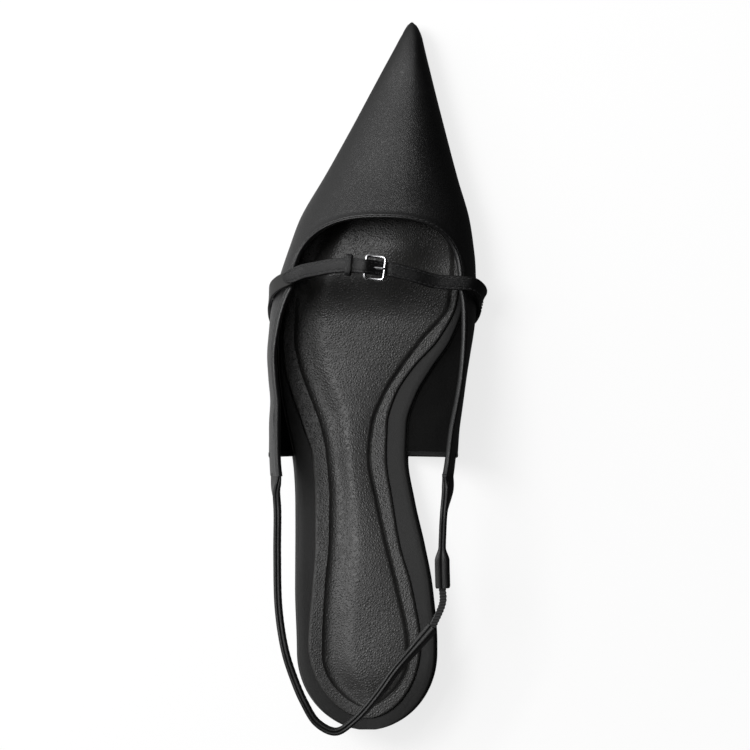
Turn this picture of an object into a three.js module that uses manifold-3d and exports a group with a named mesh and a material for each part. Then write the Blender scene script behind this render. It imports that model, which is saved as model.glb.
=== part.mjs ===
// A flat pointed slingback shoe with a buckled instep strap, for the left foot.
// Millimetres. +Y runs to the toe, +X to the inner side of the foot, +Z up from the floor.
// The origin is the middle of the heel's tread.
import * as THREE from 'three';
import { mergeVertices } from 'three/addons/utils/BufferGeometryUtils.js';
import Module from 'manifold-3d';

const wasm = await Module();
wasm.setup();

// Sizes of the last: length, ball width, instep and heel height
const LENGTH = 269;
const BALL_WIDTH = 80;
const INSTEP_HEIGHT = 62;
const HEEL_HEIGHT = 17;
const TOE_SPRING = 6;
const HEEL_ROUND = 29;
const NOSE_ROUND = 7;
const NOSE_SLOPE = 20;

// Sizes of the sole parts
const SOLE_THICKNESS = 3;
const SOLE_EDGE_ROUND = 0.7;
const WAIST_MARGIN = 0.6;
const TREAD_MARGIN = 1.7;
const TOP_PIECE_THICKNESS = 3;
const HEEL_LENGTH = 50;
const HEEL_TAPER = 3;
const HEEL_INSET = 0.8;
const HEEL_SIDE_TAPER = 1.65;
const HEEL_BACK_GAP = 0.35;
const INSOLE_THICKNESS = 2.2;
const INSOLE_INSET = 0.3;
const INSOLE_FROM_TOE_WALL = 3;
const INSOLE_TIP = 0.4;
const INSOLE_EDGE_ROUND = 0.6;
const FOOTBED_THICKNESS = 1.6;
const FOOTBED_CROWN = 1.1;
const FOOTBED_BACK = 4.6;
const FOOTBED_FROM_INSOLE_TIP = 8;
const FOOTBED_TIP = 0.6;
const CUSHION_BACK = 8.8;
const CUSHION_ROUND = 19;
const GROOVE_WIDTH = 1.4;
const GROOVE_DEPTH = 0.9;

// Sizes of the upper and its straps
const WALL = 1.8;
const TOE_WALL = 5.5;
const BINDING_WIDTH = 1.7;
const BINDING_STEP = 0.3;
const TAB_LENGTH = 7;
const TAB_HEIGHT = 7.5;
const TAB_BLEND = 3;
const HEEL_STRAP_WIDTH = 7;
const HEEL_STRAP_THICKNESS = 2.6;
const HEEL_STRAP_LEAN = 1.4;
const HEEL_FOLD_LENGTH = 18;
const HEEL_FOLD_EXTRA = 1.2;
const SLEEVE_LENGTH = 11;
const SLEEVE_EXTRA = 2.6;
const ELASTIC_WIDTH = 5;
const ELASTIC_THICKNESS = 2.5;
const ELASTIC_BEND = 5;
const INSTEP_STRAP_WIDTH = 5.4;
const INSTEP_STRAP_THICKNESS = 1.3;
const INSTEP_STRAP_RISE = 10;
const INSTEP_STRAP_SLACK_OUTER = 0.9;
const INSTEP_STRAP_SLACK_INNER = 2.1;
const STRAP_SHIFT = 2.15;
const FOLD_LENGTH = 3.4;
const FOLD_EASE = 1.6;
const FOLD_DROP = 0.6;
const BEFORE_FOLD = 1.2;
const BUCKLE_ENTRY = 2.5;
const UNDER_FRAME_EASE = 0.35;

// Sizes of the buckle and the keeper
const BUCKLE_LENGTH = 8.4;
const BUCKLE_WIDTH = 9.6;
const BUCKLE_WIRE = 1.2;
const BUCKLE_CORNER = 1.1;
const PRONG_WIRE = 0.9;
const KEEPER_LENGTH = 2.4;
const KEEPER_THICKNESS = 0.9;
const KEEPER_FROM_BAR = 6.2;
const CLEARANCE = 0.3;

// Plan of the insole and lift of the sole, one row for each station from heel to toe.
// at: share of LENGTH. outer, inner: insole edges, shares of BALL_WIDTH.
// heel: share of HEEL_HEIGHT under the sole. toe: share of TOE_SPRING under the sole.
const PLAN_COLUMNS = ['at', 'outer', 'inner', 'heel', 'toe'];
const PLAN = [
  [0.00, -0.322, 0.325, 1.00, 0],
  [0.12, -0.327, 0.325, 0.93, 0],
  [0.20, -0.336, 0.303, 0.84, 0],
  [0.26, -0.336, 0.265, 0.72, 0],
  [0.32, -0.338, 0.218, 0.54, 0],
  [0.385, -0.353, 0.183, 0.31, 0],
  [0.43, -0.386, 0.188, 0.16, 0],
  [0.47, -0.412, 0.230, 0.07, 0],
  [0.51, -0.427, 0.308, 0.02, 0],
  [0.55, -0.430, 0.398, 0, 0],
  [0.60, -0.412, 0.456, 0, 0],
  [0.66, -0.352, 0.466, 0, 0],
  [0.72, -0.272, 0.436, 0, 0.02],
  [0.78, -0.168, 0.384, 0, 0.13],
  [0.84, -0.054, 0.329, 0, 0.31],
  [0.90, 0.056, 0.280, 0, 0.55],
  [0.96, 0.162, 0.233, 0, 0.82],
  [1.00, 0.206, 0.214, 0, 1.00],
];

// Girth sections of the last above the insole, from the quarters' cut to the toe.
// at: share of LENGTH. outer, inner, ridge: widest points and ridge, shares of BALL_WIDTH.
// height: ridge above the sole, share of INSTEP_HEIGHT. low_outer, low_inner: height of the
// widest points, shares of the ridge's.
const GIRTH_COLUMNS = ['at', 'outer', 'inner', 'ridge', 'height', 'low_outer', 'low_inner'];
const GIRTH = [
  [0.34, -0.452, 0.417, 0.01, 0.91, 0.37, 0.43],
  [0.385, -0.459, 0.430, 0.02, 0.91, 0.37, 0.43],
  [0.42, -0.458, 0.438, 0.03, 0.90, 0.37, 0.43],
  [0.457, -0.454, 0.455, 0.04, 0.88, 0.36, 0.43],
  [0.494, -0.466, 0.475, 0.05, 0.85, 0.35, 0.41],
  [0.532, -0.475, 0.492, 0.06, 0.80, 0.34, 0.38],
  [0.569, -0.468, 0.510, 0.07, 0.73, 0.33, 0.35],
  [0.607, -0.448, 0.521, 0.09, 0.66, 0.33, 0.34],
  [0.644, -0.411, 0.518, 0.11, 0.59, 0.34, 0.35],
  [0.682, -0.368, 0.504, 0.13, 0.53, 0.35, 0.36],
  [0.719, -0.322, 0.485, 0.145, 0.485, 0.36, 0.37],
  [0.775, -0.215, 0.431, 0.165, 0.405, 0.38, 0.39],
  [0.85, -0.073, 0.364, 0.19, 0.308, 0.40, 0.41],
  [0.925, 0.061, 0.301, 0.21, 0.210, 0.42, 0.43],
  [0.963, 0.131, 0.270, 0.216, 0.165, 0.43, 0.44],
  [1.00, 0.195, 0.243, 0.219, 0.130, 0.44, 0.45],
];

// Throat: a squared oval that closes the topline in front
const THROAT_START = 0.620;
const THROAT_FRONT = 0.7185;
const THROAT_SIDE_OUTER = -0.358;
const THROAT_SIDE_INNER = 0.446;
const CUT_TOP_OUTER = 0.744;
const CUT_TOP_INNER = 0.771;
const TOPLINE_SWEEP = 2;
const THROAT_POWER_OUTER = 2.35;
const THROAT_POWER_INNER = 2.75;
const QUARTER_CUT = 0.385;

// Route of the slack strap round the heel, from the outer quarter to the elastic's end.
// across: share of BALL_WIDTH. at: share of LENGTH. height: share of INSTEP_HEIGHT over the floor.
const HEEL_ROUTE_COLUMNS = ['across', 'at', 'height'];
const HEEL_ROUTE = [
  [-0.408, 0.310, 0.745],
  [-0.408, 0.251, 0.77],
  [-0.400, 0.176, 0.80],
  [-0.369, 0.119, 0.83],
  [-0.329, 0.082, 0.84],
  [-0.281, 0.049, 0.85],
  [-0.219, 0.020, 0.85],
  [-0.132, 0.008, 0.85],
  [-0.044, 0.024, 0.84],
  [0.058, 0.057, 0.83],
  [0.144, 0.092, 0.82],
  [0.230, 0.122, 0.80],
  [0.310, 0.150, 0.78],
];

// Route of the inner quarter's strap, from its tab to the elastic
const QUARTER_ROUTE = [
  [0.366, 0.310, 0.77],
  [0.360, 0.280, 0.77],
  [0.357, 0.245, 0.77],
  [0.360, 0.205, 0.77],
];

// Route of the instep strap across the throat: across and at as above
const CROSSING_COLUMNS = ['across', 'at'];
const CROSSING = [
  [-0.400, 0.632],
  [-0.345, 0.639],
  [-0.240, 0.646],
  [-0.110, 0.6515],
  [0.045, 0.648],
  [0.240, 0.637],
  [0.390, 0.623],
  [0.440, 0.617],
];
const STRAP_TOP = 41;
const BUCKLE_ACROSS = 0.044;

// Footbed and its sunk line, one row for each station. pad: edges of the pad, cushion: edges of
// the raised middle, all shares of BALL_WIDTH.
const PAD_COLUMNS = ['at', 'pad_outer', 'pad_inner', 'cushion_outer', 'cushion_inner'];
const PAD = [
  [0.00, -0.262, 0.262, -0.205, 0.205],
  [0.12, -0.280, 0.256, -0.211, 0.198],
  [0.20, -0.262, 0.214, -0.199, 0.146],
  [0.26, -0.250, 0.156, -0.182, 0.096],
  [0.32, -0.250, 0.121, -0.179, 0.050],
  [0.385, -0.268, 0.090, -0.196, 0.011],
  [0.43, -0.318, 0.094, -0.228, 0.026],
  [0.47, -0.366, 0.132, -0.278, 0.076],
  [0.51, -0.404, 0.218, -0.326, 0.160],
  [0.55, -0.414, 0.338, -0.352, 0.260],
  [0.60, -0.398, 0.424, -0.345, 0.392],
  [0.66, -0.338, 0.446, -0.300, 0.412],
  [0.72, -0.258, 0.418, -0.222, 0.386],
  [0.78, -0.156, 0.366, -0.122, 0.336],
  [0.84, -0.044, 0.312, -0.014, 0.284],
  [0.90, 0.066, 0.264, 0.092, 0.240],
  [1.00, 0.196, 0.206, 0.200, 0.204],
];

// A smooth curve through one column of a table, without overshoot between rows
function columnCurve(rows, columns, name) {
  const column = columns.indexOf(name);
  const xs = rows.map((row) => row[0]);
  const ys = rows.map((row) => row[column]);
  const slopes = ys.map((y, i) => {
    if (i === 0 || i === ys.length - 1) return 0;
    const before = (y - ys[i - 1]) / (xs[i] - xs[i - 1]);
    const after = (ys[i + 1] - y) / (xs[i + 1] - xs[i]);
    if (before * after <= 0) return 0;
    return (2 * before * after) / (before + after);
  });
  const last = xs.length - 1;
  slopes[0] = (ys[1] - ys[0]) / (xs[1] - xs[0]);
  slopes[last] = (ys[last] - ys[last - 1]) / (xs[last] - xs[last - 1]);
  return (x) => {
    let i = 0;
    while (i < last - 1 && x > xs[i + 1]) i += 1;
    const step = xs[i + 1] - xs[i];
    const u = (x - xs[i]) / step;
    const u2 = u * u;
    const u3 = u2 * u;
    return (2 * u3 - 3 * u2 + 1) * ys[i] + (u3 - 2 * u2 + u) * step * slopes[i]
      + (3 * u2 - 2 * u3) * ys[i + 1] + (u3 - u2) * step * slopes[i + 1];
  };
}

function curvesOf(rows, columns) {
  const curves = {};
  for (const name of columns.slice(1)) curves[name] = columnCurve(rows, columns, name);
  return curves;
}

const plan = curvesOf(PLAN, PLAN_COLUMNS);
const girth = curvesOf(GIRTH, GIRTH_COLUMNS);
const pad = curvesOf(PAD, PAD_COLUMNS);

// The heel's tread runs from its tapered back to its tapered breast
const TREAD_BACK = HEEL_TAPER + WAIST_MARGIN;
const TREAD_BREAST = HEEL_LENGTH - HEEL_TAPER;
const ORIGIN_FROM_BACK = (TREAD_BACK + TREAD_BREAST) / 2;

const lengthwise = (at) => at * LENGTH - ORIGIN_FROM_BACK;
const soleUnder = (at) => plan.heel(at) * HEEL_HEIGHT + plan.toe(at) * TOE_SPRING;
const soleTop = (at) => soleUnder(at) + SOLE_THICKNESS;

function smoothStep(low, high, value) {
  const u = Math.min(1, Math.max(0, (value - low) / (high - low)));
  return u * u * (3 - 2 * u);
}

// Share of the width that is left at a station, from the round of the nose and of the heel
function endRound(at, backInset, toeInset) {
  const tip = 1 - toeInset / LENGTH;
  const noseStart = tip - NOSE_ROUND / LENGTH;
  const back = backInset / LENGTH;
  const heelStart = back + HEEL_ROUND / LENGTH;
  if (at > noseStart) return Math.sqrt(Math.max(0, 1 - ((at - noseStart) / (tip - noseStart)) ** 2));
  if (at < heelStart) return Math.sqrt(Math.max(0, 1 - ((heelStart - at) / (heelStart - back)) ** 2));
  return 1;
}

// Left and right edges of a plate that follows the plan, grown by a margin
function plateEdges(at, outerShare, innerShare, margin, backInset, toeInset) {
  const middle = (outerShare + innerShare) / 2 * BALL_WIDTH;
  const half = ((innerShare - outerShare) / 2 * BALL_WIDTH + margin) * endRound(at, backInset, toeInset);
  return [middle - half, middle + half];
}

// Stations from back to front, closer together at the rounded ends
function stations(from, to, count) {
  return Array.from({ length: count + 1 }, (_, i) => {
    const u = i / count;
    const eased = 0.5 - 0.5 * Math.cos(Math.PI * u);
    return from + (to - from) * (0.55 * u + 0.45 * eased);
  });
}

// A closed solid through loops of equal length. Each loop is a chain and a matching chain back.
function loft(loops) {
  const size = loops[0].length;
  const positions = [];
  for (const loop of loops) for (const point of loop) positions.push(point.x, point.y, point.z);
  const index = [];
  for (let k = 0; k < loops.length - 1; k += 1) {
    for (let i = 0; i < size; i += 1) {
      const j = (i + 1) % size;
      const a = k * size + i;
      const b = k * size + j;
      index.push(a, b, b + size, a, b + size, a + size);
    }
  }
  const end = (loops.length - 1) * size;
  for (let i = 0; i < size / 2 - 1; i += 1) {
    const back = size - 1 - i;
    index.push(i, back, i + 1, i + 1, back, back - 1);
    index.push(end + i, end + i + 1, end + back, end + i + 1, end + back - 1, end + back);
  }
  const geometry = new THREE.BufferGeometry();
  geometry.setAttribute('position', new THREE.Float32BufferAttribute(positions, 3));
  geometry.setIndex(index);
  return facedOut(joinedPoints(geometry));
}

// Loops that share a point, as at the toe's tip, leave out the triangles that close up
function joinedPoints(geometry) {
  const joined = mergeVertices(geometry, 1e-4);
  const index = joined.getIndex();
  const kept = [];
  for (let i = 0; i < index.count; i += 3) {
    const [a, b, c] = [index.getX(i), index.getX(i + 1), index.getX(i + 2)];
    if (a !== b && b !== c && c !== a) kept.push(a, b, c);
  }
  joined.setIndex(kept);
  return joined;
}

function facedOut(geometry) {
  const p = geometry.getAttribute('position');
  const index = geometry.getIndex();
  const a = new THREE.Vector3();
  const b = new THREE.Vector3();
  const c = new THREE.Vector3();
  let volume = 0;
  for (let i = 0; i < index.count; i += 3) {
    a.fromBufferAttribute(p, index.getX(i));
    b.fromBufferAttribute(p, index.getX(i + 1));
    c.fromBufferAttribute(p, index.getX(i + 2));
    volume += a.dot(b.cross(c));
  }
  if (volume < 0) {
    for (let i = 0; i < index.count; i += 3) {
      const kept = index.getX(i + 1);
      index.setX(i + 1, index.getX(i + 2));
      index.setX(i + 2, kept);
    }
  }
  return geometry;
}

// Outsole: one plate from heel to toe with rounded edges
function outsoleShape() {
  const loops = stations(0.0012, 0.9985, 56).map((at) => {
    const margin = WAIST_MARGIN + (TREAD_MARGIN - WAIST_MARGIN) * smoothStep(0.36, 0.45, at);
    const [left, right] = plateEdges(at, plan.outer(at), plan.inner(at), margin, 0, 0);
    const y = lengthwise(at);
    const low = soleUnder(at);
    const high = soleTop(at);
    const round = Math.min(SOLE_EDGE_ROUND, (right - left) / 4);
    const chain = [
      new THREE.Vector3(left + round, y, high),
      new THREE.Vector3(right - round, y, high),
      new THREE.Vector3(right, y, high - round),
    ];
    const back = [
      new THREE.Vector3(right - round, y, low),
      new THREE.Vector3(left + round, y, low),
      new THREE.Vector3(left, y, high - round),
    ];
    return [...chain, ...back];
  });
  return loft(loops);
}

// Insole: the wrapped board inside the upper, bare along the waist and heel
const INSOLE_TOE_INSET = TOE_WALL + INSOLE_FROM_TOE_WALL;
function insoleShape() {
  const tip = 1 - (INSOLE_TOE_INSET + INSOLE_TIP) / LENGTH;
  const loops = stations(0.0012, tip, 56).map((at) => {
    const [left, right] = plateEdges(at, plan.outer(at), plan.inner(at), -INSOLE_INSET, 0, INSOLE_TOE_INSET);
    const y = lengthwise(at);
    const low = soleTop(at) + CLEARANCE;
    const high = low + INSOLE_THICKNESS;
    const round = Math.min(INSOLE_EDGE_ROUND, (right - left) / 4);
    return [
      new THREE.Vector3(left, y, high - round),
      new THREE.Vector3(left + round, y, high),
      new THREE.Vector3(right - round, y, high),
      new THREE.Vector3(right, y, high - round),
      new THREE.Vector3(right, y, low),
      new THREE.Vector3(right - round, y, low),
      new THREE.Vector3(left + round, y, low),
      new THREE.Vector3(left, y, low),
    ];
  });
  return loft(loops);
}

// Footbed: a pad with a raised middle inside a sunk line
const FOOTBED_TOE_INSET = INSOLE_TOE_INSET + FOOTBED_FROM_INSOLE_TIP;
function footbedShape() {
  const crossings = [0, 0.18, 0.4, 0.6, 0.82, 1];
  const tip = 1 - (FOOTBED_TOE_INSET + FOOTBED_TIP) / LENGTH;
  const loops = stations((FOOTBED_BACK + CLEARANCE) / LENGTH, tip, 48).map((at) => {
    const y = lengthwise(at);
    const low = soleTop(at) + 2 * CLEARANCE + INSOLE_THICKNESS;
    const [left, right] = plateEdges(at, pad.pad_outer(at), pad.pad_inner(at), 0, FOOTBED_BACK, FOOTBED_TOE_INSET);
    const cushionAt = (at * LENGTH - CUSHION_BACK) / CUSHION_ROUND;
    const closing = Math.sqrt(Math.min(1, Math.max(0, 1 - Math.max(0, 1 - cushionAt) ** 2)));
    const middle = (pad.cushion_outer(at) + pad.cushion_inner(at)) / 2 * BALL_WIDTH;
    const nose = endRound(at, 0, FOOTBED_TOE_INSET);
    const half = (pad.cushion_inner(at) - pad.cushion_outer(at)) / 2 * BALL_WIDTH * closing * nose;
    const side = Math.min(GROOVE_WIDTH / 2, (middle - half - left) / 3, (right - middle - half) / 3);
    const sunk = GROOVE_DEPTH * smoothStep(0, 0.3, closing) * smoothStep(0, 0.6, nose);
    const high = low + FOOTBED_THICKNESS;
    const edge = low + FOOTBED_THICKNESS * 0.35;
    const top = [[left, edge], [left + side, high], [middle - half - side, high], [middle - half, high - sunk]];
    for (const u of crossings.slice(1, -1)) {
      const crown = FOOTBED_CROWN * Math.sin(Math.PI * u) * smoothStep(0, 0.5, closing) * nose;
      top.push([middle - half + 2 * half * u, high - sunk * (1 - Math.sin(Math.PI * u)) + crown]);
    }
    top.push([middle + half, high - sunk], [middle + half + side, high], [right - side, high], [right, edge]);
    const chain = top.map(([x, z]) => new THREE.Vector3(x, y, z));
    const back = top.map(([x]) => new THREE.Vector3(x, y, low)).reverse();
    return [...chain, ...back];
  });
  return loft(loops);
}

// Heel block: its top meets the sloping sole, its sides and back taper to the tread
function heelOutline(level) {
  const back = WAIST_MARGIN + HEEL_TAPER * level;
  const breast = HEEL_LENGTH - HEEL_TAPER * level;
  const count = 14;
  const rows = [];
  for (let i = 0; i <= count; i += 1) {
    const u = i / count;
    const eased = 1 - Math.cos(Math.PI / 2 * u);
    const from = back + HEEL_BACK_GAP + (breast - back - HEEL_BACK_GAP) * (0.35 * u + 0.65 * eased);
    const at = from / LENGTH;
    const margin = -HEEL_INSET - HEEL_SIDE_TAPER * level;
    const [left, right] = plateEdges(at, plan.outer(at), plan.inner(at), margin, back, 0);
    rows.push({ at, left, right });
  }
  return rows;
}

function heelLoop(level, heightOf) {
  const rows = heelOutline(level);
  const leftChain = rows.map((row) => new THREE.Vector3(row.left, lengthwise(row.at), heightOf(row.at)));
  const rightChain = rows.map((row) => new THREE.Vector3(row.right, lengthwise(row.at), heightOf(row.at)));
  return [...leftChain, ...rightChain.reverse()];
}

function heelShape() {
  const floor = TOP_PIECE_THICKNESS + CLEARANCE;
  const levels = [0, 0.34, 0.67, 1];
  return loft(levels.map((level) => heelLoop(level, (at) => {
    const ceiling = soleUnder(at) - CLEARANCE;
    return ceiling + (floor - ceiling) * level;
  })));
}

function topPieceShape() {
  return loft([heelLoop(1, () => TOP_PIECE_THICKNESS), heelLoop(1, () => 0)]);
}

// Surface of the last. around runs from -1 at the outer sole edge over 0 at the ridge to 1 at
// the inner sole edge. inset moves it inward by the wall, and toeInset moves the toe back.
const WIDEST = 0.6;
function lastSurface(at, around, inset, toeInset) {
  const nose = endRound(Math.max(at, 0.5), 0, toeInset);
  const side = around < 0 ? 'outer' : 'inner';
  const sign = around < 0 ? -1 : 1;
  const spread = Math.abs(around);
  const centre = (plan.outer(at) + plan.inner(at)) / 2 * BALL_WIDTH;
  const ridge = centre + (girth.ridge(at) * BALL_WIDTH - centre) * Math.min(1, nose);
  const foot = centre + ((plan[side](at) * BALL_WIDTH - centre) + sign * (CLEARANCE + WALL - inset)) * nose;
  const widest = centre + ((girth[side](at) * BALL_WIDTH - centre) - sign * inset) * nose;
  const sloped = Math.max(0, (at - 1) * LENGTH + toeInset + NOSE_SLOPE) / NOSE_SLOPE;
  const height = (girth.height(at) * INSTEP_HEIGHT - inset) * Math.sqrt(Math.max(0, 1 - sloped ** 2.6));
  const low = height * girth[`low_${side}`](at);
  const base = soleTop(at) + CLEARANCE;
  if (spread > WIDEST) {
    const u = (1 - spread) / (1 - WIDEST);
    return new THREE.Vector3(foot + (widest - foot) * Math.sin(Math.PI / 2 * u), lengthwise(at), base + low * u);
  }
  const turn = Math.PI / 2 * (1 - spread / WIDEST);
  return new THREE.Vector3(
    ridge + (widest - ridge) * Math.cos(turn),
    lengthwise(at),
    base + low + (height - low) * Math.sin(turn),
  );
}

// The girth position of a point of the topline, from its place across the shoe
function aroundOf(at, x) {
  const ridge = girth.ridge(at) * BALL_WIDTH;
  const side = x < ridge ? 'outer' : 'inner';
  const widest = girth[side](at) * BALL_WIDTH;
  const share = Math.min(1, Math.max(0, (x - ridge) / (widest - ridge)));
  const turn = Math.acos(share);
  return Math.sign(x - ridge) * WIDEST * (1 - turn / (Math.PI / 2));
}

// Topline from the outer quarter's cut (0) round the throat (0.5) to the inner quarter's cut (1)
const SIDE_LINES = 0.25;
const throatOuter = THROAT_SIDE_OUTER * BALL_WIDTH;
const throatInner = THROAT_SIDE_INNER * BALL_WIDTH;

// Place round the last where its outer (-1) or inner (1) side reaches a height
function aroundAtHeight(at, side, height) {
  let above = 0;
  let below = 1;
  for (let i = 0; i < 24; i += 1) {
    const middle = (above + below) / 2;
    if (lastSurface(at, side * middle, 0, 0).z > height) above = middle;
    else below = middle;
  }
  return side * (above + below) / 2;
}

// The topline rises in one sweep from the throat's start to the quarter's cut
function quarterTop(at, side) {
  const start = aroundOf(THROAT_START, side < 0 ? throatOuter : throatInner);
  const low = lastSurface(THROAT_START, start, 0, 0).z;
  const high = (side < 0 ? CUT_TOP_OUTER : CUT_TOP_INNER) * INSTEP_HEIGHT;
  const back = (THROAT_START - at) / (THROAT_START - QUARTER_CUT);
  return aroundAtHeight(at, side, low + (high - low) * back ** TOPLINE_SWEEP);
}

function topline(along) {
  const mirrored = along > 0.5;
  const u = mirrored ? 1 - along : along;
  if (u <= SIDE_LINES) {
    const at = QUARTER_CUT + (THROAT_START - QUARTER_CUT) * (u / SIDE_LINES);
    return { at, around: quarterTop(at, mirrored ? 1 : -1) };
  }
  const turn = Math.PI / 2 * ((u - SIDE_LINES) / (0.5 - SIDE_LINES));
  const middle = (throatOuter + throatInner) / 2;
  const half = (throatInner - throatOuter) / 2;
  const power = mirrored ? THROAT_POWER_INNER : THROAT_POWER_OUTER;
  const across = Math.cos(turn) ** (2 / power);
  const ahead = Math.sin(turn) ** (2 / power);
  const at = THROAT_START + (THROAT_FRONT - THROAT_START) * ahead;
  return { at, around: aroundOf(at, middle + (mirrored ? 1 : -1) * half * across) };
}

// Sole edge that faces each point of the topline. The lines from TIP_LINES on start at the
// toe's tip and fan out over the vamp.
const TIP_LINES = 0.4;
function soleEdge(along) {
  const mirrored = along > 0.5;
  const u = mirrored ? 1 - along : along;
  const side = mirrored ? 1 : -1;
  if (u <= SIDE_LINES) {
    return { at: QUARTER_CUT + (THROAT_START - QUARTER_CUT) * (u / SIDE_LINES), around: side };
  }
  if (u <= TIP_LINES) {
    const v = (u - SIDE_LINES) / (TIP_LINES - SIDE_LINES);
    return { at: THROAT_START + (1 - THROAT_START) * (0.55 * v + 0.45 * Math.sin(Math.PI / 2 * v)), around: side };
  }
  return { at: 1, around: side * (0.5 - u) / (0.5 - TIP_LINES) };
}

// A point of the wall: rise runs from the sole edge (0) to the topline (1). tabShare moves the
// top of the quarter's cut back to form the tab that holds the heel strap.
function wallPoint(along, rise, inset, lift, tabShare = 0) {
  const low = soleEdge(along);
  const high = topline(along);
  const tab = TAB_LENGTH / LENGTH * tabShare * (1 - smoothStep(0, 0.05, Math.min(along, 1 - along)));
  const at = low.at + (high.at - low.at) * rise - tab;
  const around = low.around + (high.around - low.around) * rise;
  const ahead = Math.max(0, (at - THROAT_FRONT) / (1 - THROAT_FRONT));
  const toeInset = inset > 0 ? TOE_WALL * (inset / WALL) : 0;
  const station = at - toeInset / LENGTH * ahead ** 2;
  return lastSurface(station, around, inset - lift, toeInset);
}

function lineLength(along) {
  let sum = 0;
  let before = wallPoint(along, 0, 0, 0);
  for (let i = 1; i <= 12; i += 1) {
    const next = wallPoint(along, i / 12, 0, 0);
    sum += next.distanceTo(before);
    before = next;
  }
  return sum;
}

// Upper: one hollow wall with a bound topline, open at the throat, behind and underneath
function upperShape() {
  const lines = 58;
  const rises = 13;
  const loops = [];
  for (let k = 0; k <= lines; k += 1) {
    const along = k / lines;
    const length = lineLength(along);
    const bound = 1 - BINDING_WIDTH / length;
    const tabFoot = 1 - TAB_HEIGHT / length;
    const tabOf = (rise) => smoothStep(tabFoot - TAB_BLEND / length, tabFoot, rise);
    const steps = [];
    for (let i = 0; i <= rises; i += 1) steps.push(bound * i / rises);
    const outer = steps.map((rise) => wallPoint(along, rise, 0, 0, tabOf(rise)));
    outer.push(wallPoint(along, bound + 0.15 * (1 - bound), 0, BINDING_STEP, 1));
    outer.push(wallPoint(along, bound + 0.75 * (1 - bound), 0, BINDING_STEP, 1));
    outer.push(wallPoint(along, 1, WALL * 0.3, 0, 1));
    const inner = steps.map((rise) => wallPoint(along, rise, WALL, 0, tabOf(rise)));
    inner.push(wallPoint(along, bound + 0.15 * (1 - bound), WALL, 0, 1));
    inner.push(wallPoint(along, bound + 0.75 * (1 - bound), WALL, 0, 1));
    inner.push(wallPoint(along, 1, WALL * 0.75, 0, 1));
    loops.push([...outer, ...inner.reverse()]);
  }
  return loft(loops);
}

// A flat band along a curve. hintOf gives the direction of its width at each step.
function band(points, steps, hintOf, sizeOf) {
  const curve = new THREE.CatmullRomCurve3(points, false, 'centripetal');
  curve.arcLengthDivisions = 600;
  const loops = steps.map((u) => {
    const centre = curve.getPointAt(u);
    const along = curve.getTangentAt(u);
    const side = hintOf(u).clone();
    side.addScaledVector(along, -side.dot(along)).normalize();
    const face = new THREE.Vector3().crossVectors(side, along).normalize();
    const { width, thickness } = sizeOf(u);
    const round = Math.min(width, thickness) * 0.3;
    const place = (w, f) => centre.clone().addScaledVector(side, w).addScaledVector(face, f);
    const w = width / 2;
    const f = thickness / 2;
    return [
      place(-w, f - round), place(-w + round, f), place(w - round, f), place(w, f - round),
      place(w, -f + round), place(w - round, -f), place(-w + round, -f), place(-w, -f + round),
    ];
  });
  return loft(loops);
}

const evenSteps = (count) => Array.from({ length: count + 1 }, (_, i) => i / count);
const routePoint = ([across, at, height]) =>
  new THREE.Vector3(across * BALL_WIDTH, lengthwise(at), height * INSTEP_HEIGHT);

// Where a strap leaves the tab of a quarter: the middle of the tab's end, a point straight
// behind it and the way that the tab's wall rises
function tabEnd(along) {
  const length = lineLength(along);
  const middle = wallPoint(along, 1 - HEEL_STRAP_WIDTH / 2 / length, WALL / 2, 0, 1);
  const top = wallPoint(along, 1, WALL / 2, 0, 1);
  const rising = top.clone().sub(middle).normalize();
  middle.y -= 2 * CLEARANCE;
  const behind = middle.clone();
  behind.y -= HEEL_STRAP_WIDTH / 2;
  return { middle, behind, rising };
}

// The heel strap stands on its edge. It leans with the quarter at first and inward behind the heel.
const UPRIGHT = new THREE.Vector3(0, 0, 1);
const FORWARD_OUT = new THREE.Vector3(-1, 1, 0).normalize();
const turning = (rising, share) => (u) => rising.clone().lerp(UPRIGHT, smoothStep(0, share, u));
const leaning = (rising, share) => {
  const upright = turning(rising, share);
  const lean = HEEL_STRAP_LEAN / HEEL_STRAP_WIDTH;
  return (u) => upright(u).addScaledVector(FORWARD_OUT, lean * smoothStep(0.62, 0.85, u));
};

function heelStrapShape() {
  const tab = tabEnd(0);
  const points = [tab.middle, tab.behind, ...HEEL_ROUTE.map(routePoint)];
  const length = new THREE.CatmullRomCurve3(points, false, 'centripetal').getLength();
  const sizeOf = (u) => {
    const extra = HEEL_FOLD_EXTRA * smoothStep(1 - HEEL_FOLD_LENGTH / length, 1, u);
    return { width: HEEL_STRAP_WIDTH, thickness: HEEL_STRAP_THICKNESS + extra };
  };
  return band(points, evenSteps(46), leaning(tab.rising, 0.07), sizeOf);
}

function quarterStrapShape() {
  const tab = tabEnd(1);
  const points = [tab.middle, tab.behind, ...QUARTER_ROUTE.map(routePoint)];
  const length = new THREE.CatmullRomCurve3(points, false, 'centripetal').getLength();
  const sleeve = 1 - SLEEVE_LENGTH / length;
  const sizeOf = (u) => {
    const extra = SLEEVE_EXTRA * smoothStep(sleeve - 0.1, sleeve + 0.02, u);
    return { width: HEEL_STRAP_WIDTH + extra * 0.3, thickness: HEEL_STRAP_THICKNESS + extra };
  };
  return band(points, evenSteps(22), turning(tab.rising, 0.4), sizeOf);
}

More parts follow.
